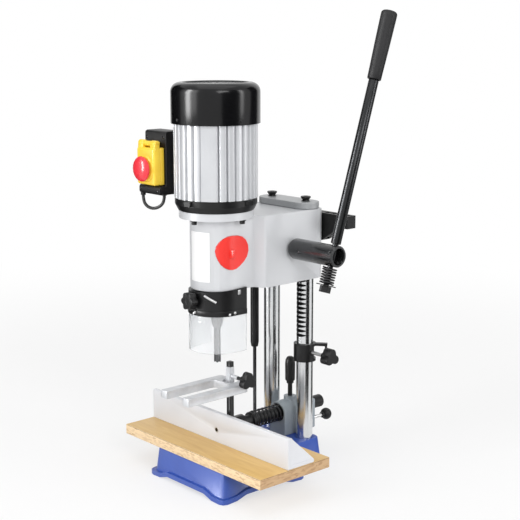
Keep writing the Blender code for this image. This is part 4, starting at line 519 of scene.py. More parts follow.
# Floor and studio
floorSetup = {
    "sweep": [(-6, 0), (3.4, 0), (3.9, 0.08), (4.3, 0.35), (4.5, 0.9), (4.55, 4.5)], "halfWidth": 7,
    "pale": (0.90, 0.90, 0.90, 1), "dim": (0.86, 0.86, 0.86, 1),
    "near": 0.5, "far": 1.9, "nearShare": 0.62, "farShare": 1.0,  # white comes in with distance, in metres
}
airStrength = 0.52
lampSetup = {
    "keyFrontLeft": ((-0.45, -2.6, 1.15), (0, 0, 0.55), (1.15, 2.2), 30),
    "topSoft": ((0.2, -0.3, 2.7), (0, 0, 0.3), (2.2, 2.2), 17),
    "cameraFill": ((2.6, -1.0, 1.7), (0, 0, 0.35), (1.3, 1.3), 34),
    "rightStrip": ((2.35, 1.35, 1.05), (0, 0, 0.45), (0.45, 2.0), 13),
}
# Sheets that only glossy surfaces see, between two bearings from the camera's line: dark felt on the floor
# and up a wall makes the stripes in the chrome, and bright panels make the streaks down the motor's cap
feltSetup = {
    "corners": ((0.36, 0, 0.004), (2.9, 0, 0.004), (2.9, 0, 2.7)), "steps": 10,
    "bearings": {"feltFront": (16, 62), "feltLeft": (-150, -96), "feltRight": (100, 135)},
}
panelSetup = {
    "corners": ((2.8, 0, 0.02), (2.8, 0, 2.4)), "steps": 4,
    "bearings": {"panelLeft": (-77, -64), "panelRight": (66, 72)},
    "power": {"panelLeft": 22.0, "panelRight": 6.0},
}


def whiteRays(tree):
    # 1 for rays from the camera, off gloss or through the clear guard
    rays = addNode(tree, "LightPath").outputs
    seen = addNode(tree, "Math", {0: rays["Is Camera Ray"], 1: rays["Is Glossy Ray"]},
                   operation="MAXIMUM")
    seen = addNode(tree, "Math", {0: seen.outputs[0], 1: rays["Is Transmission Ray"]},
                   operation="MAXIMUM")
    return seen.outputs[0]


def makeFloor():
    s = floorSetup
    form = bmesh.new()
    front = [form.verts.new((-s["halfWidth"], y, z)) for y, z in s["sweep"]]
    for low, high in zip(front, front[1:]):
        form.edges.new((low, high))
    made = bmesh.ops.extrude_edge_only(form, edges=form.edges[:])
    bmesh.ops.translate(form, verts=vertsOf(made), vec=(2 * s["halfWidth"], 0, 0))
    floor = meshObject(turned(form, cameraSetup["heading"]), "studioFloor")
    material, tree, shader = startMaterial("paperSweep", {"Roughness": 0.9, "Specular IOR Level": 0.1})
    cloud = addNode(tree, "TexNoise", {"Scale": 1.5})
    tone = addNode(tree, "Mix", {"Factor": cloud.outputs["Fac"], "A": s["dim"], "B": s["pale"]},
                   data_type="RGBA")
    feed(tree, shader, {"Base Color": tone.outputs["Result"]})
    spot = addNode(tree, "TexCoord")
    away = addNode(tree, "VectorMath", {0: spot.outputs["Object"]}, operation="LENGTH")
    fade = addNode(tree, "MapRange", {
        "Value": away.outputs["Value"], "From Min": s["near"], "From Max": s["far"],
        "To Min": s["nearShare"], "To Max": s["farShare"]}, interpolation_type="SMOOTHSTEP")
    share = addNode(tree, "Math", {0: whiteRays(tree), 1: fade.outputs["Result"]},
                    operation="MULTIPLY")
    glow = addNode(tree, "Emission", {"Color": (1, 1, 1, 1), "Strength": 1.0})
    blend = addNode(tree, "MixShader", {
        "Fac": share.outputs[0], 1: shader.outputs["BSDF"], 2: glow.outputs["Emission"]})
    feed(tree, tree.nodes["Material Output"], {"Surface": blend.outputs["Shader"]})
    floor.data.materials.append(material)


def makeWorld():
    world = bpy.data.worlds.new("studioAir")
    scene.world = world
    world.use_nodes = True
    tree = world.node_tree
    power = addNode(tree, "MapRange", {
        "Value": whiteRays(tree), "To Min": airStrength, "To Max": 1.0})
    feed(tree, tree.nodes["Background"], {"Strength": power.outputs["Result"], "Color": (1, 1, 1, 1)})


def makeLamp(name, place, target, size, power):
    data = bpy.data.lights.new(name, "AREA")
    data.shape = "RECTANGLE"
    data.size, data.size_y = size
    data.energy = power
    lamp = addPiece(data, name)
    lamp.location = place
    lamp.rotation_mode = "QUATERNION"
    lamp.rotation_quaternion = (Vector(target) - Vector(place)).to_track_quat("-Z", "Y")


def makeScreen(setup, name, feeds):
    form = bmesh.new()
    corners = [form.verts.new(place) for place in setup["corners"]]
    edges = [form.edges.new(pair) for pair in zip(corners, corners[1:])]
    first, last = setup["bearings"][name]
    turned(form, cameraSetup["heading"] - 90 + first)
    bmesh.ops.spin(form, geom=corners + edges, axis=(0, 0, 1), cent=(0, 0, 0), steps=setup["steps"],
                   angle=math.radians(last - first))
    screen = meshObject(form, name, 0)
    screen.data.materials.append(startMaterial(name + "Face", feeds)[0])
    for rays in ("camera", "diffuse", "shadow", "transmission"):
        setattr(screen, "visible_" + rays, False)


makeFloor()
makeWorld()
for name, (place, target, size, power) in lampSetup.items():
    makeLamp(name, place, target, size, power)
for name in feltSetup["bearings"]:
    makeScreen(feltSetup, name, {
        "Base Color": (0.006, 0.006, 0.006, 1), "Roughness": 1, "Specular IOR Level": 0})
for name, power in panelSetup["power"].items():
    makeScreen(panelSetup, name, {
        "Base Color": (0, 0, 0, 1), "Emission Color": (1, 1, 1, 1), "Emission Strength": power})
print("floor and lights set")


# Lead: the loop under the switch box, on the CAD's own route
leadSetup = {
    "start": (-128.5, -49.5, 469.4), "end": (-97.5, -30.0, 469.4), "drop": 21.3, "radius": 2.6,
    "shares": [(0.0, 0.15), (0.055, 0.58), (0.22, 0.89), (0.46, 1.0), (0.72, 0.89), (0.925, 0.58),
               (1.0, 0.15)],
    "steps": 4,
}


def makeLead():
    s = leadSetup
    first, last = Vector(s["start"]), Vector(s["end"])
    stops = [first]
    stops += [first.lerp(last, across) - Vector((0, 0, s["drop"] * down)) for across, down in s["shares"]]
    stops.append(last)
    route = []
    ends = [2 * stops[0] - stops[1]] + stops + [2 * stops[-1] - stops[-2]]
    for before, start, end, after in zip(ends, ends[1:], ends[2:], ends[3:]):
        for step in range(s["steps"]):
            t = step / s["steps"]
            bend = (2 * before - 5 * start + 4 * end - after) * t * t
            twist = (3 * start - before - 3 * end + after) * t ** 3
            route.append(0.5 * (2 * start + (end - before) * t + bend + twist))
    route.append(stops[-1])
    route = [toWorld @ point for point in route]
    curve, line = wireCurve(route, s["radius"], "motorLead", 6)
    line.use_smooth = True
    lead = addPiece(curve, "motorLead")
    standIn(lead, "motor_lead", "leadSheath")


makeLead()


# Motor: ribbed body with one flat for the switch box, and a deep cap with a slotted disc
motorSetup = {
    "radius": 67, "groove": 61.6, "mouth": 0.2, "crown": 0.7, "ribs": 30, "ribPoints": 16,
    "low": 476.4, "high": 596.5, "bore": 58.1, "flatTurn": -52.8, "flatWidth": 15.5,
    "capRadius": 71, "capLow": 593.4, "capHigh": 657.2, "shoulder": 15, "wall": 2.6, "edge": 0.5,
    "disc": 51, "recess": 2.2, "ledge": 3, "discGap": 0.2, "discSunk": 0.3,
    "slots": 16, "slotFrom": 18, "slotTo": 44, "slotHalf": 1.3,
    "screwTurns": (-6.7, 83.3, 173.3, 263.3), "screwHeight": 600.5,
    "screw": [(0, 1.5), (1.2, 1.35), (2.2, 0.9), (2.7, 0.1), (2.7, -0.3), (0, -0.3)],
}


def makeMotorBody():
    s = motorSetup
    outer, inner = [], []
    half = s["flatWidth"] / 2
    count = s["ribs"] * s["ribPoints"]
    for index in range(count):
        turn = 360 * index / count
        share = (index % s["ribPoints"]) / s["ribPoints"]
        rise = math.sin(min(1, min(share, 1 - share) / s["mouth"]) * math.pi / 2)  # broad rib, narrow groove
        reach = s["groove"] + (s["radius"] - s["groove"]) * rise - s["crown"] * (2 * share - 1) ** 2
        off = (turn - s["flatTurn"] + 180) % 360 - 180
        if abs(off) < half:
            reach = s["radius"] * math.cos(math.radians(half)) / math.cos(math.radians(off))
        outer.append(ringPoint(turn, reach))
        inner.append(ringPoint(turn, s["bore"]))
    body = drawn(sleeve(outer, inner, s["low"], s["high"]), "motorBodyRibs", 50)
    standIn(body, "motor_body", "motorPaint")


def makeMotorCap():
    s = motorSetup
    wall, top, shoulder = s["wall"], s["capHigh"], s["shoulder"]
    ledge, sunk = s["disc"] - s["ledge"], top - s["recess"]
    corner = (s["capRadius"] - shoulder, top - shoulder)
    profile = [(s["capRadius"] - wall, s["capLow"]), (s["capRadius"], s["capLow"])]
    profile += arcPoints(corner, shoulder, 0, 90, 12)
    profile += [(s["disc"] + s["recess"], top), (s["disc"], sunk), (ledge, sunk), (ledge, sunk - wall),
                (corner[0], top - wall)]
    profile += arcPoints(corner, shoulder - wall, 90, 0, 10)[1:]
    shell = soften(lathe(profile, 96, closed=True), s["edge"], 3)
    standIn(drawn(shell, "motorCapShell"), "motor_cap", "blackGloss")
    low, high = sunk - wall + s["discSunk"], sunk - s["discSunk"]
    slots = [turned(block((s["slotFrom"], s["slotTo"]), (-s["slotHalf"], s["slotHalf"]), (low - 3, low + 6)),
                    360 * index / s["slots"]) for index in range(s["slots"])]
    disc = drawn(pin(ledge - s["discGap"], low, high, 72), "motorCapDisc")
    dress(carve(disc, gather(slots)), "motor_cap", "discPaint")
    places = [(turn, s["screwHeight"]) for turn in s["screwTurns"]]
    screws = ringScrews(s["screw"], s["capRadius"], places, 24)
    dress(drawn(screws, "motorCapScrews"), "motor_cap", "blackSatin")


makeMotorBody()
makeMotorCap()
print("motor made")


# Columns, the right one with the rack cut into its front
columnSetup = {"half": 41.4, "y": 158.5, "radius": 14.3, "chamfer": 0.8, "steps": 96}
rackSetup = {"mesh": 387.5, "pitch": 7.854, "below": 20, "above": 5, "pitchLine": 146.7, "root": 3.125,
             "tip": 3.2, "lean": 20, "halfCut": 18, "shadeFrom": 0.35}


def cutRack(bar):
    s, half = rackSetup, columnSetup["half"]
    slope = math.tan(math.radians(s["lean"]))
    bottom, mouth = s["pitch"] / 4 - s["root"] * slope, s["pitch"] / 4 + s["tip"] * slope
    deep, out = s["pitchLine"] + s["root"], s["pitchLine"] - s["tip"]
    gaps = []
    for step in range(-s["below"], s["above"] + 1):
        z = s["mesh"] + step * s["pitch"]
        gaps.append(prism([(out, z - mouth), (deep, z - bottom), (deep, z + bottom), (out, z + mouth)],
                          half - s["halfCut"], half + s["halfCut"], "X"))
    carve(bar, gather(gaps), angle=30)


def shadeRack(bar):
    # The teeth are darker than the ground bar
    s = columnSetup
    bar.data.materials.append(finish["rackShade"])
    axis = (toWorld @ Vector((s["half"], s["y"], 0))).to_2d()
    for face in bar.data.polygons:
        inside = (face.center.to_2d() - axis).length < (s["radius"] - rackSetup["shadeFrom"]) * mm
        if inside and abs(face.normal.z) < 0.99:
            face.material_index = 1


def makeColumns():
    s = columnSetup
    low, high = (corner.z for corner in nodeBox("column_left"))
    radius, neck = s["radius"], s["radius"] - s["chamfer"]
    profile = [(0, low), (neck, low), (radius, low + s["chamfer"]), (radius, high - s["chamfer"]),
               (neck, high), (0, high)]
    bar = drawn(lathe(profile, s["steps"], (-s["half"], s["y"], 0)), "columnLeftBar")
    standIn(bar, "column_left", "chrome")
    bar = drawn(lathe(profile, s["steps"], (s["half"], s["y"], 0)), "columnRightRack")
    cutRack(bar)
    standIn(bar, "column_right", "chrome")
    shadeRack(bar)


makeColumns()
print("columns made")


# Lever, its grip and the hub, about the line of the rod
leverSetup = {
    "x": 155, "y": 109.2, "z": 387.5, "lean": 17.8,
    "rod": [(0, 17.6), (5.2, 17.6), (5.2, 19.2), (7.7, 19.4), (8.2, 20.4), (8.2, 283.5), (7.8, 284.2),
            (7.8, 380), (0, 380)],
    "stud": [(0, -58.8), (3.9, -58.8), (4.5, -58.0), (4.5, 18.4), (0, 18.4)],
    "grip": [(8.35, 286), (10.4, 286), (11.2, 287.2), (11.4, 300), (12.4, 345), (13.0, 386)],
    "gripRound": ((8.2, 392.2), 4.8), "gripEnd": [(0, 397), (0, 388), (8.35, 388)],
}
hubSetup = {
    "foot": [(0, 0), (10.6, 0), (12.6, 1.2), (15.6, 5.4), (17.2, 9.5)],
    "rim": [(17.2, -7.4), (16.7, -6.9), (16.7, -6.1), (17.2, -5.6), (17.2, -1.6), (15.8, 0), (13.6, 0),
            (12.8, -1.2), (12.8, -34), (0, -34)],
    "hole": [(0, -15), (5.4, -15), (5.4, 0), (8.5, 0), (8.5, 30), (0, 30)], "stud": (4.8, -40, 5),
    "slotX": (91, 101), "slotY": (-19, -15.6), "slotHalf": 2.6, "slotRound": 2.2,
}
leverMiddle = Vector((leverSetup["x"], leverSetup["y"], leverSetup["z"]))
leverLine = Matrix.Rotation(-math.radians(leverSetup["lean"]), 3, "X") @ Vector((0, 0, 1))


def makeLever():
    s = leverSetup
    middle, radius = s["gripRound"]
    grip = s["grip"] + arcPoints(middle, radius, 0, 90, 8) + s["gripEnd"]
    standIn(drawn(lathe(s["rod"], 64, leverMiddle, leverLine), "leverBar"), "lever_rod", "rodSteel")
    dress(drawn(lathe(s["stud"], 40, leverMiddle, leverLine), "leverStud"), "lever_rod", "rodSteel")
    grip = drawn(lathe(grip, 64, leverMiddle, leverLine), "leverGripSleeve")
    standIn(grip, "lever_grip", "gripRubber")


def makeHub():
    s, y, z = hubSetup, leverSetup["y"], leverSetup["z"]
    low, high = (corner.x for corner in nodeBox("lever_hub"))
    profile = [(radius, low + x) for radius, x in s["foot"]] + [(radius, high + x) for radius, x in s["rim"]]
    hub = drawn(lathe(profile, 80, (0, y, z), (1, 0, 0)), "leverHubBarrel")
    carve(hub, lathe(s["hole"], 40, leverMiddle, leverLine))
    carve(hub, pin(*s["stud"], 32, leverMiddle, leverLine))
    carve(hub, block(s["slotX"], [y + side for side in s["slotY"]], (z - s["slotHalf"], z + s["slotHalf"]),
                     s["slotRound"], 3))
    standIn(hub, "lever_hub", "hubSteel")


makeLever()
makeHub()
print("lever made")


# Coil springs, from start to end, with flat end curls
springSetup = {
    "fence_spring": {"name": "fenceSpringCoil", "start": (0, 74.3, 86.2), "end": (0, 139.2, 86.2),
                     "mean": 13.6, "wire": 1.35, "curls": 7},
    "lever_spring": {"name": "leverSpringCoil", "start": leverMiddle - leverLine * 18.2,
                     "end": leverMiddle - leverLine * 46.7, "mean": 10.7, "wire": 1.3, "curls": 5},
}
flatCurl = 0.8
curlSteps = 28


def makeSpring(node):
    s = springSetup[node]
    start, end, wire = Vector(s["start"]), Vector(s["end"]), s["wire"]
    along = (end - start).normalized()
    length = (end - start).length - 6 * wire
    across = along.orthogonal().normalized()
    up = along.cross(across)
    points = []
    turns = s["curls"] + 2 * flatCurl
    steps = int(turns * curlSteps)
    for step in range(steps + 1):
        turn = turns * step / steps
        travel = min(1, max(0, (turn - flatCurl) / s["curls"]))
        flat = 2 * wire * (min(1, turn / flatCurl) - 1 + max(0, turn - s["curls"] - flatCurl) / flatCurl)
        angle = 2 * math.pi * turn
        middle = start + along * (3 * wire + flat + travel * length)
        points.append(middle + (across * math.cos(angle) + up * math.sin(angle)) * s["mean"])
    standIn(wireMesh(points, wire, s["name"], 4), node, "springSteel")


for node in springSetup:
    makeSpring(node)
print("springs made")


# Round knobs with lobes
knobSetup = {
    "clamp": {"reach": 15, "lobes": 6, "depth": 0.22, "turn": 0, "edge": 2.2, "axis": "Y",
              "centre": (0, 313), "low": -63, "high": -50,
              "boss": [(0, 52.5), (7.6, 52.5), (7.6, 47.6), (4, 47.6), (4, 16.8), (0, 16.8)],
              "dish": [(0, 62.0), (5.5, 62.6), (5.5, 66), (0, 66)]},
    "fork": {"reach": 15.2, "lobes": 3, "depth": 0.42, "turn": 90, "edge": 2.2, "axis": "X",
             "centre": (27, 173.5), "low": 38.2, "high": 50.2, "boss": (6, 31, 40), "screw": (3, 5, 33)},
    "depth": {"reach": 15.2, "lobes": 3, "depth": 0.42, "turn": 90, "edge": 2.6, "axis": "X",
              "centre": (158.5, 201), "length": 17.5, "neck": 6.0, "stem": 3.0},
}


def lobedForm(s, low, high):
    outline = []
    count = 120
    for index in range(count):
        angle = 2 * math.pi * index / count
        wave = (1 + math.cos(s["lobes"] * angle - math.radians(s["turn"]) * s["lobes"])) / 2
        radius = s["reach"] * (1 - s["depth"] + s["depth"] * wave ** 0.7)
        outline.append(ringPoint(360 * index / count, radius, s["centre"]))
    return soften(prism(outline, low, high, s["axis"]), s["edge"], 4, 60)


def makeClampKnob():
    s = knobSetup["clamp"]
    at, toward = (s["centre"][0], 0, s["centre"][1]), (0, -1, 0)
    knob = drawn(lobedForm(s, s["low"], s["high"]), "clampKnob")
    carve(knob, lathe(s["boss"], 40, at, toward), "UNION")
    carve(knob, lathe(s["dish"], 32, at, toward))
    standIn(knob, "chisel_clamp_screw", "blackPlastic")


def makeForkKnob():
    s = knobSetup["fork"]
    at, toward = (0, *s["centre"]), (1, 0, 0)
    knob = drawn(lobedForm(s, s["low"], s["high"]), "forkKnob")
    carve(knob, pin(*s["boss"], 40, at, toward), "UNION")
    carve(knob, pin(*s["screw"], 24, at, toward), "UNION")
    standIn(knob, "hold_down_screw", "blackPlastic")


def makeDepthKnob():
    s = knobSetup["depth"]
    at, toward = (0, *s["centre"]), (1, 0, 0)
    neck, stem = s["neck"], s["stem"]
    low, high = (corner.x for corner in nodeBox("depth_stop_screw"))
    start = high - s["length"]
    knob = drawn(lobedForm(s, start, high), "depthStopKnob")
    profile = [(0, start - 7), (neck - 1, start - 7), (neck, start - 5), (neck + 0.6, start + 2),
               (0, start + 2)]
    carve(knob, lathe(profile, 40, at, toward), "UNION")
    standIn(knob, "depth_stop_screw", "blackPlastic")
    end = start - 6.9
    profile = [(0, low), (stem - 0.5, low), (stem, low + 0.5), (stem, end), (0, end)]
    dress(drawn(lathe(profile, 28, at, toward), "depthStopStem"), "depth_stop_screw", "zinc")


makeClampKnob()
makeForkKnob()
makeDepthKnob()
print("knobs made")


# Housing label, left bare, and the bolts under the head's flange
trimSetup = {"labelLow": 344, "labelHigh": 424, "labelFrom": -106, "labelTo": -54, "housing": 43.0,
             "labelSkin": (0.12, 0.45), "boltTurns": (10, 280), "boltCircle": 53.5, "boltTop": 443.8,
             "bolt": [(0, 0), (6.2, 0), (6.2, -1.2), (4.4, -1.4), (4.4, -6.0), (3.9, -6.6), (0, -6.6)]}


def makeTrim():
    s = trimSetup
    under, over = (s["housing"] + skin for skin in s["labelSkin"])
    outline = arcPoints((0, 0), over, s["labelFrom"], s["labelTo"], 30)
    outline += arcPoints((0, 0), under, s["labelTo"], s["labelFrom"], 30)
    label = drawn(prism(outline, s["labelLow"], s["labelHigh"]), "housingLabel")
    dress(label, "head_casting", "labelPaper")
    bolts = [lathe(s["bolt"], 32, around(turn, s["boltCircle"], s["boltTop"])) for turn in s["boltTurns"]]
    dress(drawn(gather(bolts), "headFlangeBolts"), "head_casting", "blackSatin")


makeTrim()
print("trim made")


# Work board: pale chipboard core with a printed sheet on top
boardSetup = {"sheet": 0.9, "line": 0.45, "lineInset": 0.25, "coreEdge": 0.4, "sheetEdge": 0.25}


def makeBoard():
    s = boardSetup
    low, high = nodeBox("work_table")
    split, inset = high.z - s["sheet"], s["lineInset"]
    x, y = (low.x, high.x), (low.y, high.y)
    core = block(x, y, (low.z, split - s["line"]), s["coreEdge"])
    standIn(drawn(core, "boardCore"), "work_table", "boardLaminate")
    line = block((low.x + inset, high.x - inset), (low.y + inset, high.y - inset),
                 (split - s["line"], split))
    dress(drawn(line, "boardGlueLine"), "work_table", "sheetEdge")
    sheet = block(x, y, (split, high.z), s["sheetEdge"])
    dress(drawn(sheet, "boardSheet"), "work_table", "boardLaminate")


# Hold-down fork: two arms with sunk side panels and a bored boss
forkSetup = {"halfWidth": 36.5, "arm": 16.5, "tip": -90, "bridge": 10, "back": 37.5, "low": 152, "high": 165,
             "tipRound": 3, "bridgeRound": 6, "backRound": 8, "edge": 0.7, "boss": 12.8, "bossTop": 184,
             "postY": 27, "post": 4.9, "panel": 2.3, "sunk": 0.9, "screwZ": 173.5, "screwHole": (3.4, 4, 20)}


def cornered(corners, steps=6):
    # Rounds each (x, y, radius) corner of an outline
    outline = []
    for index, (x, y, radius) in enumerate(corners):
        here = Vector((x, y))
        back = (Vector(corners[index - 1][:2]) - here).normalized()
        on = (Vector(corners[(index + 1) % len(corners)][:2]) - here).normalized()
        half = back.angle(on) / 2
        middle = here + (back + on).normalized() * radius / math.sin(half)
        first = here + back * radius / math.tan(half) - middle
        last = here + on * radius / math.tan(half) - middle
        sweep = -first.angle_signed(last)
        for step in range(steps + 1):
            outline.append(tuple(middle + Matrix.Rotation(sweep * step / steps, 2) @ first))
    return outline


def makeFork():
    s = forkSetup
    w, inner, post, y = s["halfWidth"], s["halfWidth"] - s["arm"], s["post"], s["postY"]
    right = [(inner, s["bridge"], s["bridgeRound"]), (inner, s["tip"], s["tipRound"]),
             (w, s["tip"], s["tipRound"]), (w, s["back"], s["backRound"])]
    left = [(-x, level, radius) for x, level, radius in reversed(right)]
    form = prism(cornered(left[1:] + right + left[:1]), s["low"], s["high"])
    sides = [face for face in form.faces if abs(face.normal.x) > 0.9 and face.calc_area() > 500]
    bmesh.ops.inset_individual(form, faces=sides, thickness=s["panel"], depth=-s["sunk"],
                               use_even_offset=True)
    fork = drawn(soften(form, s["edge"], 3, 50), "forkCasting")
    boss = [(0, s["low"] + 1), (s["boss"], s["low"] + 1), (s["boss"], s["bossTop"] - 1),
            (s["boss"] - 1, s["bossTop"]), (0, s["bossTop"])]
    carve(fork, lathe(boss, 56, (0, y, 0)), "UNION")
    carve(fork, block((-post, post), (y - post, y + post), (s["low"] - 5, s["bossTop"] + 5)))
    carve(fork, pin(*s["screwHole"], 24, (0, y, s["screwZ"]), (1, 0, 0)))
    standIn(fork, "hold_down_fork", "castAluminium")


makeBoard()
makeFork()
print("board and fork made")


# Clear guard bent round the chisel, and its screws
guardSetup = {"outer": 46.2, "inner": 43.8, "back": 24, "low": 227.5, "high": 296.5, "edge": 0.5,
              "screws": [(-93, 291.5), (-14, 291.5)],
              "screw": [(0, 1.9), (1.4, 1.7), (2.5, 1.0), (2.9, 0), (0, 0)]}


def bentSheet(outer, inner, low, high, edge):
    # A half round wall whose ends run straight back
    back = guardSetup["back"]
    outline = [(-outer, back)] + arcPoints((0, 0), outer, 180, 360, 64) + [(outer, back)]
    outline += [(inner, back)] + arcPoints((0, 0), inner, 360, 180, 64) + [(-inner, back)]
    return soften(prism(outline, low, high), edge, 2, 50)


def makeGuard():
    s = guardSetup
    sheet = bentSheet(s["outer"], s["inner"], s["low"], s["high"], s["edge"])
    standIn(drawn(sheet, "guardSheet"), "chuck_guard", "clearGuard")
    dress(drawn(ringScrews(s["screw"], s["outer"], s["screws"]), "guardScrews"), "chuck_guard", "zinc")


makeGuard()
print("guard made")


# Chisel holder: the CAD band trimmed to its sloping top, a skirt over the guard and its fittings, with a
# bright strip along the slot as painted highlight
holderSetup = {"top": 328.96, "riseX": 0.0507, "riseY": 0.0465, "skirtLow": 288.6, "skirtHigh": 297.4,
               "skirtIn": 46.35, "skirtOut": 47.4, "skirtEdge": 0.4, "radius": 46.5, "slotFrom": (-65, 323),
               "slotTo": (-41, 312.5), "slotWidth": 4.2, "slotProud": 0.2, "slotSteps": 12,
               "screws": [(-88, 294), (-2, 293.5)], "tab": (12, 331), "tabProud": 1.4,
               "screw": [(0, 1.7), (1.2, 1.6), (2.1, 1.0), (2.5, 0), (2.5, -0.4), (0, -0.4)]}


def makeHolderBand():
    s = holderSetup
    form = mergedCopy("chisel_holder")
    bmesh.ops.transform(form, matrix=toWorld.inverted(), verts=form.verts)
    across = Vector((-s["riseX"], -s["riseY"], 1)).normalized()
    made = bmesh.ops.bisect_plane(form, geom=form.verts[:] + form.edges[:] + form.faces[:],
                                  plane_co=(0, 0, s["top"]), plane_no=across, clear_outer=True)
    rim = [item for item in made["geom_cut"] if isinstance(item, bmesh.types.BMEdge)]
    bmesh.ops.edgenet_fill(form, edges=rim)
    bmesh.ops.recalc_face_normals(form, faces=form.faces)
    standIn(drawn(form, "chiselHolderBand"), "chisel_holder", "blackSatin")


def makeHolderFittings():
    s = holderSetup
    skirt = bentSheet(s["skirtOut"], s["skirtIn"], s["skirtLow"], s["skirtHigh"], s["skirtEdge"])
    dress(drawn(skirt, "holderSkirt"), "chisel_holder", "blackSatin")
    # painted highlight: a bright zinc strip laid along the slanted slot stands for the light streak seen
    # there
    link = []
    for step in range(s["slotSteps"] + 1):
        turn, height = (start + (end - start) * step / s["slotSteps"]
                        for start, end in zip(s["slotFrom"], s["slotTo"]))
        link.append(around(turn, s["radius"] + s["slotProud"], height))
    link = wireMesh(link, s["slotWidth"] / 2, "holderSlotHighlight")
    dress(link, "chisel_holder", "zinc")
    heads = ringScrews(s["screw"], s["skirtOut"], s["screws"])
    turn, height = s["tab"]
    tab = block((s["radius"] - 4, s["radius"] + s["tabProud"]), (-5, 5), (height - 9, height - 1), 0.8)
    fittings = gather([heads, turned(tab, turn)])
    dress(drawn(fittings, "holderFittings"), "chisel_holder", "zinc")


makeHolderBand()
makeHolderFittings()
print("holder made")


# Bolts on the tie plate, flared and socketed
boltSetup = {"foot": 6.2, "waist": 5.6, "rim": 8.4, "socket": 4.0, "socketDepth": 4.5, "shank": 4.0,
             "flange": 1.4, "tall": 9.0}


def makeTieBolt(node, name, side):
    s = boltSetup
    low, high = (corner.z for corner in nodeBox(node))
    seat, rim, socket, flange = high - s["tall"], s["rim"], s["socket"], s["foot"] + s["flange"]
    profile = [(0, low), (s["shank"], low), (s["shank"], seat + 0.05), (flange, seat + 0.05),
               (flange, seat + 1.2), (s["foot"], seat + 1.6), (s["waist"], seat + 3.2),
               (rim - 0.7, high - 3.0), (rim, high - 2.0), (rim, high - 0.6), (rim - 0.7, high),
               (socket + 0.4, high), (socket, high - 0.4), (socket, high - s["socketDepth"]),
               (0, high - s["socketDepth"])]
    bolt = lathe(profile, 48, (side * columnSetup["half"], columnSetup["y"], 0))
    standIn(drawn(bolt, name, 30), node, "blackSatin")


makeTieBolt("tie_bolt_left", "tieBoltLeft", -1)
makeTieBolt("tie_bolt_right", "tieBoltRight", 1)
print("tie bolts made")


# Switch: lid with two lugs and a collar, and the screws of the box
switchSetup = {
    "x": (-127.5, -80.5), "front": -62.6, "back": -50.1, "low": 490, "high": 550.5, "round": 4.0,
    "lug": 13.5, "lugLow": 547, "hinge": (-54.3, 557), "lugRadius": 5.4, "lugInset": 0.6, "pinHole": 1.8,
    "knob": (-104, 516.5), "stem": 7.9,
    "collar": [(0, -1), (21.5, -1), (21.5, 0), (20.6, 1.4), (18.4, 2.2), (0, 2.2)],
    "wall": 2.2, "screws": [(-127, -41, 565), (-82, -41, 567), (-128, -55, 482), (-83, -55, 480)],
    "screw": [(0, 0.9), (1.6, 0.8), (2.6, 0.2), (2.8, -0.3), (0, -0.3)],
}


def makeSwitchLid():
    s = switchSetup
    (left, right), (y, z), wall = s["x"], s["hinge"], s["wall"]
    at, toward = (s["knob"][0], s["front"], s["knob"][1]), (0, -1, 0)
    shell = block(s["x"], (s["front"], s["back"]), (s["low"], s["high"]))
    soften(shell, s["round"], 5, 60, lambda edge: min(vert.co.y for vert in edge.verts) < s["back"] - 1)
    lid = drawn(shell, "switchLidShell", 40)
    rear = s["back"] - 0.1
    outline = [(rear, s["lugLow"])] + arcPoints((y, z), s["lugRadius"], -10, 190, 14)
    outline += [(s["front"] + 2.4, s["lugLow"] + 1.5), (s["front"] + 3.2, s["lugLow"])]
    outline = [(min(place, rear), height) for place, height in outline]
    for start in (left + s["lugInset"], right - s["lugInset"] - s["lug"]):
        carve(lid, soften(prism(outline, start, start + s["lug"], "X"), 1.2, 3, 50), "UNION")
    carve(lid, lathe(s["collar"], 72, at, toward), "UNION")
    carve(lid, block((left + wall, right - wall), (s["front"] + wall, s["back"] + 2),
                     (s["low"] + wall, s["high"] - wall), 1.5))
    carve(lid, pin(s["stem"], -6, 8, 40, at, toward))
    carve(lid, pin(s["pinHole"], left - 3, right + 3, 24, (0, y, z), (1, 0, 0)))
    standIn(lid, "switch_lid", "yellowPlastic")


def makeBoxScrews():
    screws = [lathe(switchSetup["screw"], 24, place, (0, -1, 0)) for place in switchSetup["screws"]]
    dress(drawn(gather(screws), "switchBoxScrews"), "switch_box", "blackGloss")


makeSwitchLid()
makeBoxScrews()
print("switch made")


# Small round handles: the upright lock handle, and the ball knob of the keeper's screw
lockSetup = {"y": 163.5, "collar": 136, "radius": 8.5, "stem": 4.0, "ring": 6.2}
keeperSetup = {"z": 57.5, "low": 245, "radius": 10.5, "neck": 5.2, "stem": 3.0}


def makeLockHandle():
    s = lockSetup
    low, high = (corner.z for corner in nodeBox("fence_lock_handle"))
    radius, stem, ring, collar = s["radius"], s["stem"], s["ring"], s["collar"]
    profile = [(0, low), (stem - 0.4, low), (stem, low + 0.5), (stem, collar - 3), (ring - 0.6, collar - 3),
               (ring, collar - 2.4), (ring, collar + 1.5), (radius - 0.8, collar + 2.2),
               (radius, collar + 3.4), (radius + 0.3, high - 13), (radius - 0.4, high - 6),
               (radius - 2.6, high - 1.6), (radius - 4.4, high - 0.3), (0, high)]
    handle = drawn(lathe(profile, 56, (0, s["y"], 0)), "lockHandle", 30)
    standIn(handle, "fence_lock_handle", "blackPlastic")


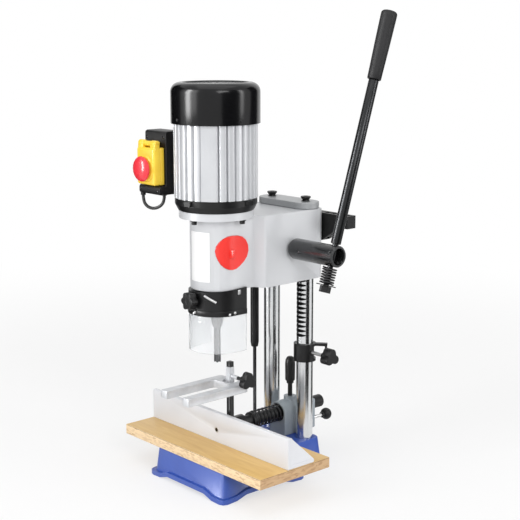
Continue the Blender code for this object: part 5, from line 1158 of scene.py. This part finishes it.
def makeKeeperKnob():
    s = keeperSetup
    at, toward, low, stem = (0, 0, s["z"]), (0, 1, 0), s["low"], s["stem"]
    start, end = (corner.y for corner in nodeBox("keeper_screw"))
    half = (end - low) / 2 + 1
    ball = [(s["radius"] * math.cos(turn), end - half + half * math.sin(turn))
            for turn in (math.radians(-60 + 10 * step) for step in range(15))]
    profile = [(0, low - 4), (s["neck"] - 0.2, low - 4), (s["neck"], low + 0.5)] + ball + [(0, end)]
    standIn(drawn(lathe(profile, 48, at, toward), "keeperKnob"), "keeper_screw", "blackPlastic")
    rear = low - 3.6
    profile = [(0, start), (stem - 0.4, start), (stem, start + 0.6), (stem, rear), (0, rear)]
    dress(drawn(lathe(profile, 28, at, toward), "keeperStem"), "keeper_screw", "zinc")


makeLockHandle()
makeKeeperKnob()
print("handles made")


# Fence: a countersunk ring in its face, and a black disc filling its screw hole as painted shade
fenceSetup = {"at": (0, -3.3, 86.2), "hole": 3.4, "ring": 5.2, "deep": -0.4, "discProud": 0.12}


def makeFenceScrewHole():
    s = fenceSetup
    toward, hole, ring, deep = (0, -1, 0), s["hole"], s["ring"], s["deep"]
    profile = [(hole, deep), (hole, 0.25), (ring - 0.4, 0.4), (ring, 0.1), (ring, deep)]
    form = lathe(profile, 48, s["at"], toward, closed=True)
    dress(drawn(form, "fenceScrewRing"), "fence", "zinc")
    # painted shade: a black disc sits in the screw hole in place of the hole's depth
    form = pin(hole - 0.1, s["discProud"], deep, 36, s["at"], toward)
    dress(drawn(form, "fenceHoleShadeDisc"), "fence", "blackGloss")


makeFenceScrewHole()
print("small fittings made")


# Every other node gets a merged copy of its solid. Each finish lists its nodes, with the width in mm by
# which their hard edges are rounded.
skinSetup = {
    "bluePaint": {"base_casting": 1.0},
    "platePaint": {"column_tie_plate": 0.6},
    "fencePaint": {"fence": 0.7},
    "headPaint": {"head_casting": 0.8},
    "bracketPaint": {"fence_bracket": 1.0, "bracket_keeper": 0.4},
    "rodSteel": {"strut_rod": 0},
    "blackSatin": {"strut_cylinder": 0.4, "motor_flange": 0.6, "switch_bracket": 0.3, "lever_washer": 0.3,
                   "lever_nut": 0.4, "fence_shaft": 0.5, "shaft_cap": 0.5, "hold_down_post": 0.4,
                   "depth_stop_collar": 0.5},
    "blackPlastic": {"tool_holder": 0.6, "switch_box": 0.8, "cooling_fan": 0},
    "yellowPlastic": {"switch_frame": 0.5},
    "redPlastic": {"access_door": 0.8, "off_button": 0.3},
    "stopRed": {"stop_knob": 0.6},
    "greenPlastic": {"on_button": 0.3},
    "chiselSteel": {"mortising_chisel": 0.15},
    "groundSteel": {"drill_chuck": 0.4, "auger_bit": 0, "pinion": 0, "pinion_shaft": 0, "rotor": 0,
                    "rotor_shaft": 0, "bearing_lower": 0, "bearing_upper": 0},
    "bronze": {"column_bush_left": 0, "column_bush_right": 0},
    "copper": {"stator": 0},
    "castAluminium": {"bearing_carrier": 0},
}
arrisSetup = {"segments": 2, "above": 32}


def makeSkin(node, look, width):
    first, *rest = node.split("_")
    name = first + "".join(word.capitalize() for word in rest) + "Skin"
    piece = meshObject(mergedCopy(node), name)
    if width:
        rounding = piece.modifiers.new("arris", "BEVEL")
        rounding.width = width * mm
        rounding.segments = arrisSetup["segments"]
        rounding.limit_method = "ANGLE"
        rounding.angle_limit = math.radians(arrisSetup["above"])
        rounding.harden_normals = False
        rounding.miter_outer = "MITER_ARC"
    standIn(piece, node, look)


for look, widths in skinSetup.items():
    for node, width in widths.items():
        makeSkin(node, look, width)
print("pieces made")
